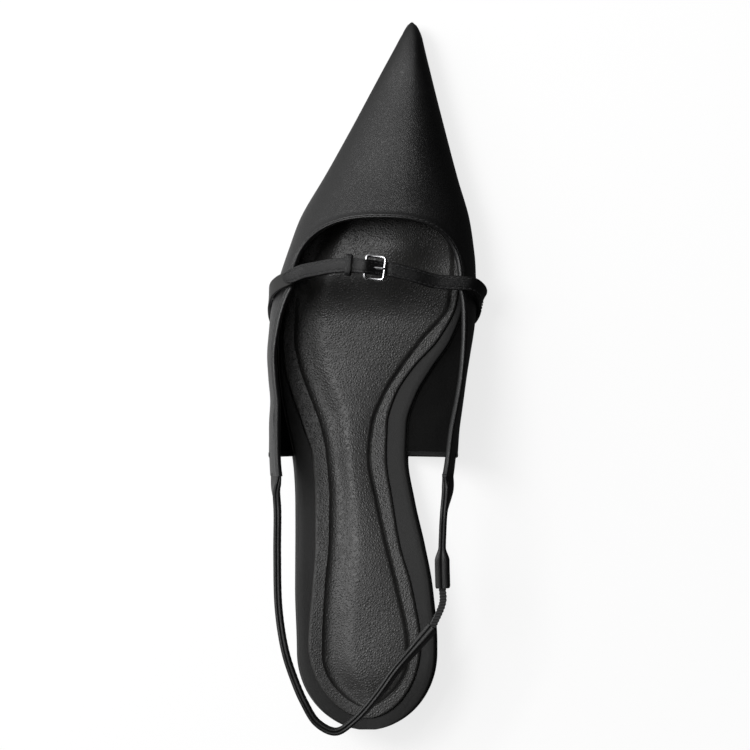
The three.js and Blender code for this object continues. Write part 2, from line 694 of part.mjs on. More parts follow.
// The elastic joins the sleeve of the quarter's strap to the end of the heel strap
function elasticShape() {
  const from = routePoint(QUARTER_ROUTE[QUARTER_ROUTE.length - 1]);
  const to = routePoint(HEEL_ROUTE[HEEL_ROUTE.length - 1]);
  const before = routePoint(QUARTER_ROUTE[QUARTER_ROUTE.length - 2]);
  const after = routePoint(HEEL_ROUTE[HEEL_ROUTE.length - 2]);
  const start = from.clone().addScaledVector(from.clone().sub(before).normalize(), CLEARANCE);
  const end = to.clone().addScaledVector(to.clone().sub(after).normalize(), 2 * CLEARANCE);
  const bend = start.clone().addScaledVector(from.clone().sub(before).normalize(), ELASTIC_BEND);
  const size = { width: ELASTIC_WIDTH, thickness: ELASTIC_THICKNESS };
  return band([start, bend, end], evenSteps(10), () => UPRIGHT, () => size);
}

// Frame of the buckle: middle, direction along the strap and direction across the strap
const crossingAt = columnCurve(CROSSING, CROSSING_COLUMNS, 'at');
const crossingY = (x) => lengthwise(crossingAt(x / BALL_WIDTH));
const buckleX = BUCKLE_ACROSS * BALL_WIDTH;
const buckleMiddle = new THREE.Vector3(buckleX, crossingY(buckleX), STRAP_TOP);
const strapWay = new THREE.Vector3(2, crossingY(buckleX + 1) - crossingY(buckleX - 1), 0).normalize();
const strapSide = new THREE.Vector3(-strapWay.y, strapWay.x, 0);
const byBuckle = (way, rise) =>
  buckleMiddle.clone().addScaledVector(strapWay, way).add(new THREE.Vector3(0, 0, rise));
const buckleTurn = new THREE.Matrix4().makeBasis(strapWay, strapSide, UPRIGHT).setPosition(buckleMiddle);

// Height of the lower strap layer across the throat
const HALF_SPAN = 0.3875 * BALL_WIDTH;
const layerStep = INSTEP_STRAP_THICKNESS + CLEARANCE;
const barReach = BUCKLE_LENGTH / 2 - BUCKLE_WIRE / 2;
const underBar = BUCKLE_WIRE / 2 + CLEARANCE + INSTEP_STRAP_THICKNESS / 2;
const crossingPoint = (x, rise) => new THREE.Vector3(
  x,
  crossingY(x),
  STRAP_TOP - underBar - INSTEP_STRAP_RISE * ((x - buckleX) / HALF_SPAN) ** 2 + rise,
);

// The strap's way down each side of the upper: at, around and share of the slack
const SIDE_ROUTE = [
  [0.576, 0.985, 0.15],
  [0.583, 0.86, 0.12],
  [0.592, 0.73, 0.1],
  [0.602, 0.62, 0.2],
  [0.612, 0.53, 0.7],
  [0.620, 0.46, 1],
  [0.626, 0.40, 0.9],
];
function sidePoints(sign, shift) {
  const most = sign < 0 ? INSTEP_STRAP_SLACK_OUTER : INSTEP_STRAP_SLACK_INNER;
  return SIDE_ROUTE.map(([at, around, slack]) => {
    const offset = INSTEP_STRAP_THICKNESS / 2 + CLEARANCE + most * slack;
    return lastSurface(at + shift, sign * around, -offset, 0);
  });
}

const acrossShoe = () => strapSide;

// The heelward edge of the strap turns in toward the wall where the strap stands off it.
// Row of SIDE_ROUTE at the shoulder, reach of the turn below and above it, and the turn itself
const SHOULDER_ROW = 5;
const TURN_BELOW = 14;
const TURN_ABOVE = 5;
const TURN_OUTER = 0.12;
const TURN_INNER = 0.55;
function turnedIn(points, sign) {
  const most = sign < 0 ? TURN_OUTER : TURN_INNER;
  const curve = new THREE.CatmullRomCurve3(points, false, 'centripetal');
  curve.arcLengthDivisions = 600;
  const shoulder = points[SHOULDER_ROW].z;
  return (u) => {
    const height = curve.getPointAt(u).z;
    const rising = smoothStep(shoulder - TURN_BELOW, shoulder - TURN_BELOW / 2, height);
    const ending = 1 - smoothStep(shoulder, shoulder + TURN_ABOVE, height);
    return strapSide.clone().add(new THREE.Vector3(sign * most * rising * ending, 0, 0));
  };
}

const instepSize = { width: INSTEP_STRAP_WIDTH, thickness: INSTEP_STRAP_THICKNESS };

// Places across the shoe that the strap's halves pass, shares of BALL_WIDTH
const OUTER_CROSSING = [-0.3, -0.2125, -0.125];
const INNER_CROSSING = [0.325, 0.225];
const FREE_END_REST = [-0.225, -0.2875, -0.3375];
const KEEPER_EXIT = -0.1625;
const FREE_END = -0.378;

// Outer half of the instep strap: up the outer side and folded back round the buckle's bar
function outerStrapPoints() {
  const points = sidePoints(-1, STRAP_SHIFT / LENGTH);
  for (const share of OUTER_CROSSING) points.push(crossingPoint(share * BALL_WIDTH, 0));
  points.push(byBuckle(-barReach - BEFORE_FOLD, -underBar));
  for (const degrees of [-90, -45, 0, 45, 90]) {
    const turn = THREE.MathUtils.degToRad(degrees);
    points.push(byBuckle(-barReach + underBar * Math.cos(turn), underBar * Math.sin(turn)));
  }
  points.push(byBuckle(-barReach - FOLD_EASE, underBar - FOLD_DROP));
  points.push(byBuckle(-barReach - FOLD_LENGTH, -underBar + layerStep));
  return points;
}

function outerStrapShape() {
  const steps = evenSteps(42).map((u) => 1 - (1 - u) ** 1.6);
  const points = outerStrapPoints();
  return band(points, steps, turnedIn(points, -1), () => instepSize);
}

// Inner half: up the inner side, under one bar and over the other, through the keeper
const OVER_BAR = underBar + layerStep + CLEARANCE / 2;
const KEEPER_WAY = -barReach - KEEPER_FROM_BAR;
const KEPT_LAYERS = 1.9;

// A point above the outer half of the strap, at a place across the shoe
function aboveOuterStrap(x, layers) {
  const curve = new THREE.CatmullRomCurve3(outerStrapPoints(), false, 'centripetal');
  const count = 400;
  let u = 0;
  while (u < count && !(curve.getPoint(u / count).x > x && curve.getPoint(u / count).z > STRAP_TOP / 2)) u += 1;
  const along = curve.getTangent(u / count);
  const up = new THREE.Vector3(-along.z, 0, along.x).normalize();
  return curve.getPoint(u / count).addScaledVector(up, layers * layerStep);
}
function innerStrapPoints() {
  const points = sidePoints(1, 0);
  for (const share of INNER_CROSSING) points.push(crossingPoint(share * BALL_WIDTH, 0));
  points.push(byBuckle(barReach + BUCKLE_ENTRY, -underBar - UNDER_FRAME_EASE));
  points.push(byBuckle(barReach + UNDER_FRAME_EASE, -underBar - UNDER_FRAME_EASE));
  points.push(byBuckle(0, (OVER_BAR - underBar) / 2));
  points.push(byBuckle(-barReach, OVER_BAR));
  points.push(byBuckle(-barReach - FOLD_EASE, OVER_BAR - CLEARANCE));
  const lowerAtKeeper = crossingPoint(buckleX + KEEPER_WAY, 0);
  points.push(byBuckle(KEEPER_WAY, lowerAtKeeper.z - STRAP_TOP + layerStep * KEPT_LAYERS));
  points.push(aboveOuterStrap(KEEPER_EXIT * BALL_WIDTH, 1.3));
  for (const share of FREE_END_REST) points.push(aboveOuterStrap(share * BALL_WIDTH, 1.12));
  points.push(aboveOuterStrap(FREE_END * BALL_WIDTH, 1.2));
  return points;
}

function innerStrapShape() {
  const points = innerStrapPoints();
  return band(points, evenSteps(54), turnedIn(points, 1), () => instepSize);
}

// Buckle: a thin square frame whose prong turns on one bar and rests on the other
function roundedRectangle(width, height, corner, Kind) {
  const w = width / 2;
  const h = height / 2;
  const shape = new Kind();
  shape.moveTo(-w + corner, -h);
  shape.lineTo(w - corner, -h);
  shape.absarc(w - corner, -h + corner, corner, -Math.PI / 2, 0, false);
  shape.lineTo(w, h - corner);
  shape.absarc(w - corner, h - corner, corner, 0, Math.PI / 2, false);
  shape.lineTo(-w + corner, h);
  shape.absarc(-w + corner, h - corner, corner, Math.PI / 2, Math.PI, false);
  shape.lineTo(-w, -h + corner);
  shape.absarc(-w + corner, -h + corner, corner, Math.PI, Math.PI * 1.5, false);
  return shape;
}

function frameShape() {
  const shape = roundedRectangle(BUCKLE_LENGTH, BUCKLE_WIDTH, BUCKLE_CORNER, THREE.Shape);
  const hole = roundedRectangle(
    BUCKLE_LENGTH - 2 * BUCKLE_WIRE, BUCKLE_WIDTH - 2 * BUCKLE_WIRE, BUCKLE_CORNER * 0.4, THREE.Path);
  shape.holes.push(hole);
  const geometry = new THREE.ExtrudeGeometry(shape, { depth: BUCKLE_WIRE, bevelEnabled: false, curveSegments: 4 });
  return geometry.translate(0, 0, -BUCKLE_WIRE / 2).applyMatrix4(buckleTurn);
}

function toSolid(geometry) {
  const bare = geometry.clone();
  bare.deleteAttribute('normal');
  bare.deleteAttribute('uv');
  const merged = mergeVertices(bare, 1e-4);
  return new wasm.Manifold(new wasm.Mesh({
    numProp: 3,
    vertProperties: new Float32Array(merged.getAttribute('position').array),
    triVerts: new Uint32Array(merged.getIndex().array),
  }));
}

function toGeometry(solid) {
  const mesh = solid.getMesh();
  const geometry = new THREE.BufferGeometry();
  geometry.setAttribute('position', new THREE.Float32BufferAttribute(mesh.vertProperties, 3));
  geometry.setIndex(Array.from(mesh.triVerts));
  return geometry;
}

const EYE_RADIUS = BUCKLE_WIRE / 2 * Math.SQRT2 + CLEARANCE * 0.6 + PRONG_WIRE / 2;
const PRONG_RISE = BUCKLE_WIRE / 2 + CLEARANCE + PRONG_WIRE / 2;
const PRONG_END = barReach + BUCKLE_WIRE * 0.6;
function prongShape() {
  const eye = new THREE.TorusGeometry(EYE_RADIUS, PRONG_WIRE / 2, 6, 14);
  eye.rotateX(Math.PI / 2).translate(-barReach, 0, 0).applyMatrix4(buckleTurn);
  const points = [byBuckle(-barReach, EYE_RADIUS), byBuckle(0, PRONG_RISE), byBuckle(PRONG_END, PRONG_RISE)];
  const bar = band(points, evenSteps(4), acrossShoe, () => ({ width: PRONG_WIRE, thickness: PRONG_WIRE }));
  return toGeometry(toSolid(eye).add(toSolid(bar)));
}

// Room for the prong in the folded end and in the free end of the strap
function slotCutter(from, to, low, high) {
  const box = new THREE.BoxGeometry(to - from, PRONG_WIRE + 2 * CLEARANCE, high - low);
  return toSolid(box.translate((from + to) / 2, 0, (low + high) / 2).applyMatrix4(buckleTurn));
}

const eyeRoom = EYE_RADIUS + PRONG_WIRE / 2 + CLEARANCE;
function slottedOuterStrap() {
  const slot = slotCutter(-barReach - eyeRoom, 0, -eyeRoom - 1, eyeRoom + 1);
  return toGeometry(toSolid(outerStrapShape()).subtract(slot));
}

function slottedInnerStrap() {
  const low = PRONG_RISE - PRONG_WIRE / 2 - CLEARANCE;
  const high = PRONG_RISE + PRONG_WIRE / 2 + CLEARANCE;
  const slot = slotCutter(-barReach, PRONG_END + CLEARANCE, low, high);
  return toGeometry(toSolid(innerStrapShape()).subtract(slot));
}

// Keeper: a small loop round both layers of the strap
function keeperShape() {
  const lower = crossingPoint(buckleX + KEEPER_WAY, 0).z - STRAP_TOP;
  const low = lower - INSTEP_STRAP_THICKNESS / 2 - 5 * CLEARANCE;
  const high = lower + layerStep * KEPT_LAYERS + INSTEP_STRAP_THICKNESS / 2 + 3.5 * CLEARANCE;
  const width = INSTEP_STRAP_WIDTH + 3 * CLEARANCE;
  const grown = 2 * KEEPER_THICKNESS;
  const shape = roundedRectangle(width + grown, high - low + grown, KEEPER_THICKNESS, THREE.Shape);
  shape.holes.push(roundedRectangle(width, high - low, 0.3, THREE.Path));
  const geometry = new THREE.ExtrudeGeometry(shape, { depth: KEEPER_LENGTH, bevelEnabled: false, curveSegments: 3 });
  geometry.translate(0, (high + low) / 2, -KEEPER_LENGTH / 2);
  const upright = new THREE.Matrix4().makeBasis(
    new THREE.Vector3(0, 1, 0), new THREE.Vector3(0, 0, 1), new THREE.Vector3(1, 0, 0));
  geometry.applyMatrix4(upright).translate(KEEPER_WAY, 0, 0);
  return geometry.applyMatrix4(buckleTurn);
}

const group = new THREE.Group();
function addPiece(name, geometry, color, roughness, metalness) {
  const material = new THREE.MeshStandardMaterial({ color, roughness, metalness });
  const mesh = new THREE.Mesh(geometry, material);
  mesh.name = name;
  group.add(mesh);
}

addPiece('outsole', outsoleShape(), 0x141414, 0.6, 0);
addPiece('heel', heelShape(), 0x161616, 0.5, 0);
addPiece('heel_top_piece', topPieceShape(), 0x0e0e0e, 0.8, 0);
addPiece('insole', insoleShape(), 0x2c2c2c, 0.6, 0);
addPiece('footbed', footbedShape(), 0x3d3c3b, 0.65, 0);
addPiece('upper', upperShape(), 0x1a1a1a, 0.35, 0);
addPiece('heel_strap', heelStrapShape(), 0x1a1a1a, 0.4, 0);
addPiece('quarter_strap', quarterStrapShape(), 0x1a1a1a, 0.4, 0);
addPiece('heel_elastic', elasticShape(), 0x121212, 0.85, 0);
addPiece('instep_strap_outer', slottedOuterStrap(), 0x1c1c1c, 0.4, 0);
addPiece('instep_strap_inner', slottedInnerStrap(), 0x1c1c1c, 0.4, 0);
addPiece('strap_keeper', keeperShape(), 0x1c1c1c, 0.4, 0);
addPiece('buckle_frame', frameShape(), 0xc9cbce, 0.12, 1);
addPiece('buckle_prong', prongShape(), 0xc9cbce, 0.12, 1);

export default group;
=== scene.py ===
import bisect
import functools
import math

import bmesh
import bpy
from mathutils import Matrix, Vector


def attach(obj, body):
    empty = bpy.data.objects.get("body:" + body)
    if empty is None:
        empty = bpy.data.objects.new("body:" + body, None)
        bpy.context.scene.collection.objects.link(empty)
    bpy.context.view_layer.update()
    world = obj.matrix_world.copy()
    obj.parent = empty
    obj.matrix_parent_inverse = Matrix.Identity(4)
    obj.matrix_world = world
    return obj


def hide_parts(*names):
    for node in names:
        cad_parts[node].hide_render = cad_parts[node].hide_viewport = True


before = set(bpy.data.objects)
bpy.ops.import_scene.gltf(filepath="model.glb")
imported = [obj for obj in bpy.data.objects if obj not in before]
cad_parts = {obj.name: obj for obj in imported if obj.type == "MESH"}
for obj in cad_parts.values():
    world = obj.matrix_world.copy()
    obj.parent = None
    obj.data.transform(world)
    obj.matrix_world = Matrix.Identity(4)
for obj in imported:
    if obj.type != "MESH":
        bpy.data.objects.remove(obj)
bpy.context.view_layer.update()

# Sizes of the last and the sole, in metres, as in the frame
LENGTH = 0.269
BALL_WIDTH = 0.080
INSTEP_HEIGHT = 0.062
HEEL_HEIGHT = 0.017
TOE_SPRING = 0.006
HEEL_ROUND = 0.029
NOSE_ROUND = 0.007
NOSE_SLOPE = 0.020
SOLE_THICKNESS = 0.003
WAIST_MARGIN = 0.0006
TREAD_MARGIN = 0.0017
TOP_PIECE = 0.003
HEEL_LENGTH = 0.050
HEEL_TAPER = 0.003
HEEL_INSET = 0.0008
HEEL_SIDE_TAPER = 0.00165
HEEL_BACK_GAP = 0.00035
INSOLE_THICKNESS = 0.0022
FOOTBED_THICKNESS = 0.0016
FOOTBED_CROWN = 0.0011
CLEARANCE = 0.0003
MERGE_DISTANCE = 1e-7

# Sizes of the upper, the straps and the buckle
WALL = 0.0018
TOE_WALL = 0.0055
BINDING_WIDTH = 0.0017
BINDING_RISE = 0.00012
TAB_LENGTH = 0.007
TAB_HEIGHT = 0.0075
HEEL_STRAP_WIDTH = 0.007
HEEL_STRAP_THICKNESS = 0.0026
HEEL_STRAP_LEAN = 0.0014
HEEL_FOLD_LENGTH = 0.018
HEEL_FOLD_EXTRA = 0.0012
SLEEVE_LENGTH = 0.011
SLEEVE_EXTRA = 0.0026
ELASTIC_WIDTH = 0.005
ELASTIC_THICKNESS = 0.0025
STRAP_WIDTH = 0.0054
STRAP_THICKNESS = 0.0013
STRAP_RISE = 0.010
STRAP_SLACK_OUTER = 0.0009
STRAP_SLACK_INNER = 0.0021
STRAP_TOP = 0.041
BUCKLE_ACROSS = 0.044
FOLD_LENGTH = 0.0034
BUCKLE_LENGTH = 0.0084
BUCKLE_WIDTH = 0.0096
BUCKLE_WIRE = 0.0012
BUCKLE_CORNER = 0.0011
PRONG_WIRE = 0.0009
KEEPER_LENGTH = 0.0024
KEEPER_THICKNESS = 0.0009
KEEPER_FROM_BAR = 0.0062
STITCH_LENGTH = 0.0017
STITCH_GAP = 0.0005
STITCH_RADIUS = 0.00016

# Shares of the length at which the upper's forms begin
QUARTER_CUT = 0.385
THROAT_START = 0.620
THROAT_FRONT = 0.7185
THROAT_SIDE_OUTER = -0.358
THROAT_SIDE_INNER = 0.446
CUT_TOP_OUTER = 0.744
CUT_TOP_INNER = 0.771
TOPLINE_SWEEP = 2
THROAT_POWER_OUTER = 2.35
THROAT_POWER_INNER = 2.75
WIDEST = 0.6
SIDE_LINES = 0.25
TIP_LINES = 0.4

# at: share of LENGTH. outer, inner: insole edges, shares of BALL_WIDTH.
# heel: share of HEEL_HEIGHT under the sole. toe: share of TOE_SPRING under the sole.
PLAN_COLUMNS = ("at", "outer", "inner", "heel", "toe")
PLAN = (
    (0.00, -0.322, 0.325, 1.00, 0),
    (0.12, -0.327, 0.325, 0.93, 0),
    (0.20, -0.336, 0.303, 0.84, 0),
    (0.26, -0.336, 0.265, 0.72, 0),
    (0.32, -0.338, 0.218, 0.54, 0),
    (0.385, -0.353, 0.183, 0.31, 0),
    (0.43, -0.386, 0.188, 0.16, 0),
    (0.47, -0.412, 0.230, 0.07, 0),
    (0.51, -0.427, 0.308, 0.02, 0),
    (0.55, -0.430, 0.398, 0, 0),
    (0.60, -0.412, 0.456, 0, 0),
    (0.66, -0.352, 0.466, 0, 0),
    (0.72, -0.272, 0.436, 0, 0.02),
    (0.78, -0.168, 0.384, 0, 0.13),
    (0.84, -0.054, 0.329, 0, 0.31),
    (0.90, 0.056, 0.280, 0, 0.55),
    (0.96, 0.162, 0.233, 0, 0.82),
    (1.00, 0.206, 0.214, 0, 1.00),
)

# outer, inner, ridge: widest points and ridge. height: ridge, share of INSTEP_HEIGHT.
# low_outer, low_inner: height of the widest points.
GIRTH_COLUMNS = ("at", "outer", "inner", "ridge", "height",
                 "low_outer", "low_inner")
GIRTH = (
    (0.34, -0.452, 0.417, 0.01, 0.91, 0.37, 0.43),
    (0.385, -0.459, 0.430, 0.02, 0.91, 0.37, 0.43),
    (0.42, -0.458, 0.438, 0.03, 0.90, 0.37, 0.43),
    (0.457, -0.454, 0.455, 0.04, 0.88, 0.36, 0.43),
    (0.494, -0.466, 0.475, 0.05, 0.85, 0.35, 0.41),
    (0.532, -0.475, 0.492, 0.06, 0.80, 0.34, 0.38),
    (0.569, -0.468, 0.510, 0.07, 0.73, 0.33, 0.35),
    (0.607, -0.448, 0.521, 0.09, 0.66, 0.33, 0.34),
    (0.644, -0.411, 0.518, 0.11, 0.59, 0.34, 0.35),
    (0.682, -0.368, 0.504, 0.13, 0.53, 0.35, 0.36),
    (0.719, -0.322, 0.485, 0.145, 0.485, 0.36, 0.37),
    (0.775, -0.215, 0.431, 0.165, 0.405, 0.38, 0.39),
    (0.85, -0.073, 0.364, 0.19, 0.308, 0.40, 0.41),
    (0.925, 0.061, 0.301, 0.21, 0.210, 0.42, 0.43),
    (0.963, 0.131, 0.270, 0.216, 0.165, 0.43, 0.44),
    (1.00, 0.195, 0.243, 0.219, 0.130, 0.44, 0.45),
)

# pad: edges of the footbed. cushion: edges of its raised middle.
PAD_COLUMNS = ("at", "pad_outer", "pad_inner", "cushion_outer", "cushion_inner")
PAD = (
    (0.00, -0.262, 0.262, -0.205, 0.205),
    (0.12, -0.280, 0.256, -0.211, 0.198),
    (0.20, -0.262, 0.214, -0.199, 0.146),
    (0.26, -0.250, 0.156, -0.182, 0.096),
    (0.32, -0.250, 0.121, -0.179, 0.050),
    (0.385, -0.268, 0.090, -0.196, 0.011),
    (0.43, -0.318, 0.094, -0.228, 0.026),
    (0.47, -0.366, 0.132, -0.278, 0.076),
    (0.51, -0.404, 0.218, -0.326, 0.160),
    (0.55, -0.414, 0.338, -0.352, 0.260),
    (0.60, -0.398, 0.424, -0.345, 0.392),
    (0.66, -0.338, 0.446, -0.300, 0.412),
    (0.72, -0.258, 0.418, -0.222, 0.386),
    (0.78, -0.156, 0.366, -0.122, 0.336),
    (0.84, -0.044, 0.312, -0.014, 0.284),
    (0.90, 0.066, 0.264, 0.092, 0.240),
    (1.00, 0.196, 0.206, 0.200, 0.204),
)

# across: share of BALL_WIDTH. at: share of LENGTH. height: share of INSTEP_HEIGHT.
HEEL_ROUTE = (
    (-0.408, 0.310, 0.745),
    (-0.408, 0.251, 0.77),
    (-0.400, 0.176, 0.80),
    (-0.369, 0.119, 0.83),
    (-0.329, 0.082, 0.84),
    (-0.281, 0.049, 0.85),
    (-0.219, 0.020, 0.85),
    (-0.132, 0.008, 0.85),
    (-0.044, 0.024, 0.84),
    (0.058, 0.057, 0.83),
    (0.144, 0.092, 0.82),
    (0.230, 0.122, 0.80),
    (0.310, 0.150, 0.78),
)
QUARTER_ROUTE = (
    (0.366, 0.310, 0.77),
    (0.360, 0.280, 0.77),
    (0.357, 0.245, 0.77),
    (0.360, 0.205, 0.77),
)
CROSSING_COLUMNS = ("across", "at")
CROSSING = (
    (-0.400, 0.632),
    (-0.345, 0.639),
    (-0.240, 0.646),
    (-0.110, 0.6515),
    (0.045, 0.648),
    (0.240, 0.637),
    (0.390, 0.623),
    (0.440, 0.617),
)
SIDE_ROUTE = (
    (0.576, 0.985, 0.15),
    (0.583, 0.86, 0.12),
    (0.592, 0.73, 0.1),
    (0.602, 0.62, 0.2),
    (0.612, 0.53, 0.7),
    (0.620, 0.46, 1),
    (0.626, 0.40, 0.9),
)


# Smooth curves through the columns of a table
def column_curve(rows, columns, name):
    column = columns.index(name)
    xs = [row[0] for row in rows]
    ys = [row[column] for row in rows]
    grades = [(ys[i + 1] - ys[i]) / (xs[i + 1] - xs[i]) for i in range(len(xs) - 1)]
    slopes = [grades[0]]
    for before, after in zip(grades, grades[1:]):
        slopes.append(0 if before * after <= 0 else 2 * before * after / (before + after))
    slopes.append(grades[-1])

    def value(x):
        i = 0
        while i < len(xs) - 2 and x > xs[i + 1]:
            i += 1
        step = xs[i + 1] - xs[i]
        u = (x - xs[i]) / step
        u2, u3 = u * u, u * u * u
        return ((2 * u3 - 3 * u2 + 1) * ys[i] + (u3 - 2 * u2 + u) * step * slopes[i]
                + (3 * u2 - 2 * u3) * ys[i + 1] + (u3 - u2) * step * slopes[i + 1])
    return value


plan = {name: column_curve(PLAN, PLAN_COLUMNS, name) for name in PLAN_COLUMNS[1:]}
girth = {name: column_curve(GIRTH, GIRTH_COLUMNS, name) for name in GIRTH_COLUMNS[1:]}
pad = {name: column_curve(PAD, PAD_COLUMNS, name) for name in PAD_COLUMNS[1:]}
crossing_at = column_curve(CROSSING, CROSSING_COLUMNS, "at")

SOLE_SIDES = ("outer", "inner")
TREAD_BACK = HEEL_TAPER + WAIST_MARGIN
TREAD_BREAST = HEEL_LENGTH - HEEL_TAPER
ORIGIN_FROM_BACK = (TREAD_BACK + TREAD_BREAST) / 2


def lengthwise(at):
    return at * LENGTH - ORIGIN_FROM_BACK


def sole_under(at):
    return plan["heel"](at) * HEEL_HEIGHT + plan["toe"](at) * TOE_SPRING


def sole_top(at):
    return sole_under(at) + SOLE_THICKNESS


def smooth_step(low, high, value):
    u = min(1, max(0, (value - low) / (high - low)))
    return u * u * (3 - 2 * u)


def bell(value, middle, width):
    return math.exp(-((value - middle) / width) ** 2)


def end_round(at, back_inset, toe_inset):
    tip = 1 - toe_inset / LENGTH
    nose = tip - NOSE_ROUND / LENGTH
    back = back_inset / LENGTH
    heel = back + HEEL_ROUND / LENGTH
    if at > nose:
        return math.sqrt(max(0, 1 - ((at - nose) / (tip - nose)) ** 2))
    if at < heel:
        return math.sqrt(max(0, 1 - ((heel - at) / (heel - back)) ** 2))
    return 1


def plate_edges(at, table, side_names, margin, back_inset, toe_inset):
    outer, inner = (table[name](at) for name in side_names)
    middle = (outer + inner) / 2 * BALL_WIDTH
    half = ((inner - outer) / 2 * BALL_WIDTH + margin) * end_round(at, back_inset, toe_inset)
    return middle - half, middle + half


def stations(start, end, count):
    places = []
    for i in range(count + 1):
        u = i / count
        eased = 0.5 - 0.5 * math.cos(math.pi * u)
        places.append(start + (end - start) * (0.4 * u + 0.6 * eased))
    return places


# Meshes: one piece from points and faces
def mesh_piece(name, points, faces, materials, sharp, slots=None):
    mesh = bpy.data.meshes.new(name)
    mesh.from_pydata([tuple(p) for p in points], [], faces)
    for material in materials:
        mesh.materials.append(material)
    if slots:
        mesh.polygons.foreach_set("material_index", slots)
    piece = bpy.data.objects.new(name, mesh)
    bpy.context.scene.collection.objects.link(piece)
    work = bmesh.new()
    work.from_mesh(mesh)
    bmesh.ops.remove_doubles(work, verts=work.verts, dist=MERGE_DISTANCE)
    bmesh.ops.recalc_face_normals(work, faces=work.faces)
    work.to_mesh(mesh)
    work.free()
    mesh.shade_smooth()
    mesh.set_sharp_from_angle(angle=math.radians(sharp))
    return piece


# A solid through loops, each a chain and a matching chain back
def loft(name, loops, materials, material_of=None, sharp=40):
    size = len(loops[0])
    faces = []
    slots = []
    for k in range(len(loops) - 1):
        for i in range(size):
            j = (i + 1) % size
            faces.append((k * size + i, k * size + j, (k + 1) * size + j, (k + 1) * size + i))
            slots.append(material_of(k, i) if material_of else 0)
    end = (len(loops) - 1) * size
    for i in range(size // 2 - 1):
        back = size - 1 - i
        faces.append((i, back, back - 1, i + 1))
        faces.append((end + i, end + i + 1, end + back - 1, end + back))
        slots.extend([0, 0])
    return mesh_piece(name, [p for loop in loops for p in loop], faces, materials, sharp, slots)


# Faces of a tube with rings of the same number of sides, closed or with two flat ends
def tube_faces(rings, sides, closed, first=0):
    faces = []
    for i in range(rings if closed else rings - 1):
        here, ahead = first + i * sides, first + (i + 1) % rings * sides
        for j in range(sides):
            m = (j + 1) % sides
            faces.append((here + j, here + m, ahead + m, ahead + j))
    if not closed:
        faces.append(tuple(first + j for j in reversed(range(sides))))
        faces.append(tuple(first + (rings - 1) * sides + j for j in range(sides)))
    return faces


def place_piece(piece, slot, *nodes):
    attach(piece, "root")
    if nodes:
        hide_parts(*nodes)
    return piece


# Surface of the last and the lines of the upper
def last_surface(at, around, inset, toe_inset):
    nose = end_round(max(at, 0.5), 0, toe_inset)
    side = "outer" if around < 0 else "inner"
    sign = -1 if around < 0 else 1
    spread = abs(around)
    centre = (plan["outer"](at) + plan["inner"](at)) / 2 * BALL_WIDTH
    ridge = centre + (girth["ridge"](at) * BALL_WIDTH - centre) * min(1, nose)
    foot = centre + ((plan[side](at) * BALL_WIDTH - centre) + sign * (CLEARANCE + WALL - inset)) * nose
    widest = centre + ((girth[side](at) * BALL_WIDTH - centre) - sign * inset) * nose
    sloped = max(0, (at - 1) * LENGTH + toe_inset + NOSE_SLOPE) / NOSE_SLOPE
    height = (girth["height"](at) * INSTEP_HEIGHT - inset) * math.sqrt(max(0, 1 - sloped ** 2.6))
    low = height * girth["low_" + side](at)
    base = sole_top(at) + CLEARANCE
    if spread > WIDEST:
        u = (1 - spread) / (1 - WIDEST)
        return Vector((foot + (widest - foot) * math.sin(math.pi / 2 * u), lengthwise(at), base + low * u))
    turn = math.pi / 2 * (1 - spread / WIDEST)
    return Vector((ridge + (widest - ridge) * math.cos(turn), lengthwise(at),
                   base + low + (height - low) * math.sin(turn)))


def around_of(at, x):
    ridge = girth["ridge"](at) * BALL_WIDTH
    widest = girth["outer" if x < ridge else "inner"](at) * BALL_WIDTH
    share = min(1, max(0, (x - ridge) / (widest - ridge)))
    sign = -1 if x < ridge else 1
    return sign * WIDEST * (1 - math.acos(share) / (math.pi / 2))


THROAT_OUTER = THROAT_SIDE_OUTER * BALL_WIDTH
THROAT_INNER = THROAT_SIDE_INNER * BALL_WIDTH


def around_at_height(at, side, height):
    above, below = 0.0, 1.0
    for _ in range(24):
        middle = (above + below) / 2
        if last_surface(at, side * middle, 0, 0).z > height:
            above = middle
        else:
            below = middle
    return side * (above + below) / 2


def quarter_top(at, side):
    start = around_of(THROAT_START, THROAT_OUTER if side < 0 else THROAT_INNER)
    low = last_surface(THROAT_START, start, 0, 0).z
    high = (CUT_TOP_OUTER if side < 0 else CUT_TOP_INNER) * INSTEP_HEIGHT
    back = (THROAT_START - at) / (THROAT_START - QUARTER_CUT)
    return around_at_height(at, side, low + (high - low) * back ** TOPLINE_SWEEP)


@functools.lru_cache(maxsize=None)
def topline(along):
    mirrored = along > 0.5
    u = 1 - along if mirrored else along
    if u <= SIDE_LINES:
        at = QUARTER_CUT + (THROAT_START - QUARTER_CUT) * (u / SIDE_LINES)
        return at, quarter_top(at, 1 if mirrored else -1)
    turn = math.pi / 2 * ((u - SIDE_LINES) / (0.5 - SIDE_LINES))
    middle = (THROAT_OUTER + THROAT_INNER) / 2
    half = (THROAT_INNER - THROAT_OUTER) / 2
    power = THROAT_POWER_INNER if mirrored else THROAT_POWER_OUTER
    across = max(0, math.cos(turn)) ** (2 / power)
    ahead = max(0, math.sin(turn)) ** (2 / power)
    at = THROAT_START + (THROAT_FRONT - THROAT_START) * ahead
    return at, around_of(at, middle + (1 if mirrored else -1) * half * across)


def sole_edge(along):
    mirrored = along > 0.5
    u = 1 - along if mirrored else along
    side = 1 if mirrored else -1
    if u <= SIDE_LINES:
        return QUARTER_CUT + (THROAT_START - QUARTER_CUT) * (u / SIDE_LINES), side
    if u <= TIP_LINES:
        v = (u - SIDE_LINES) / (TIP_LINES - SIDE_LINES)
        return THROAT_START + (1 - THROAT_START) * (0.55 * v + 0.45 * math.sin(math.pi / 2 * v)), side
    return 1, side * (0.5 - u) / (0.5 - TIP_LINES)


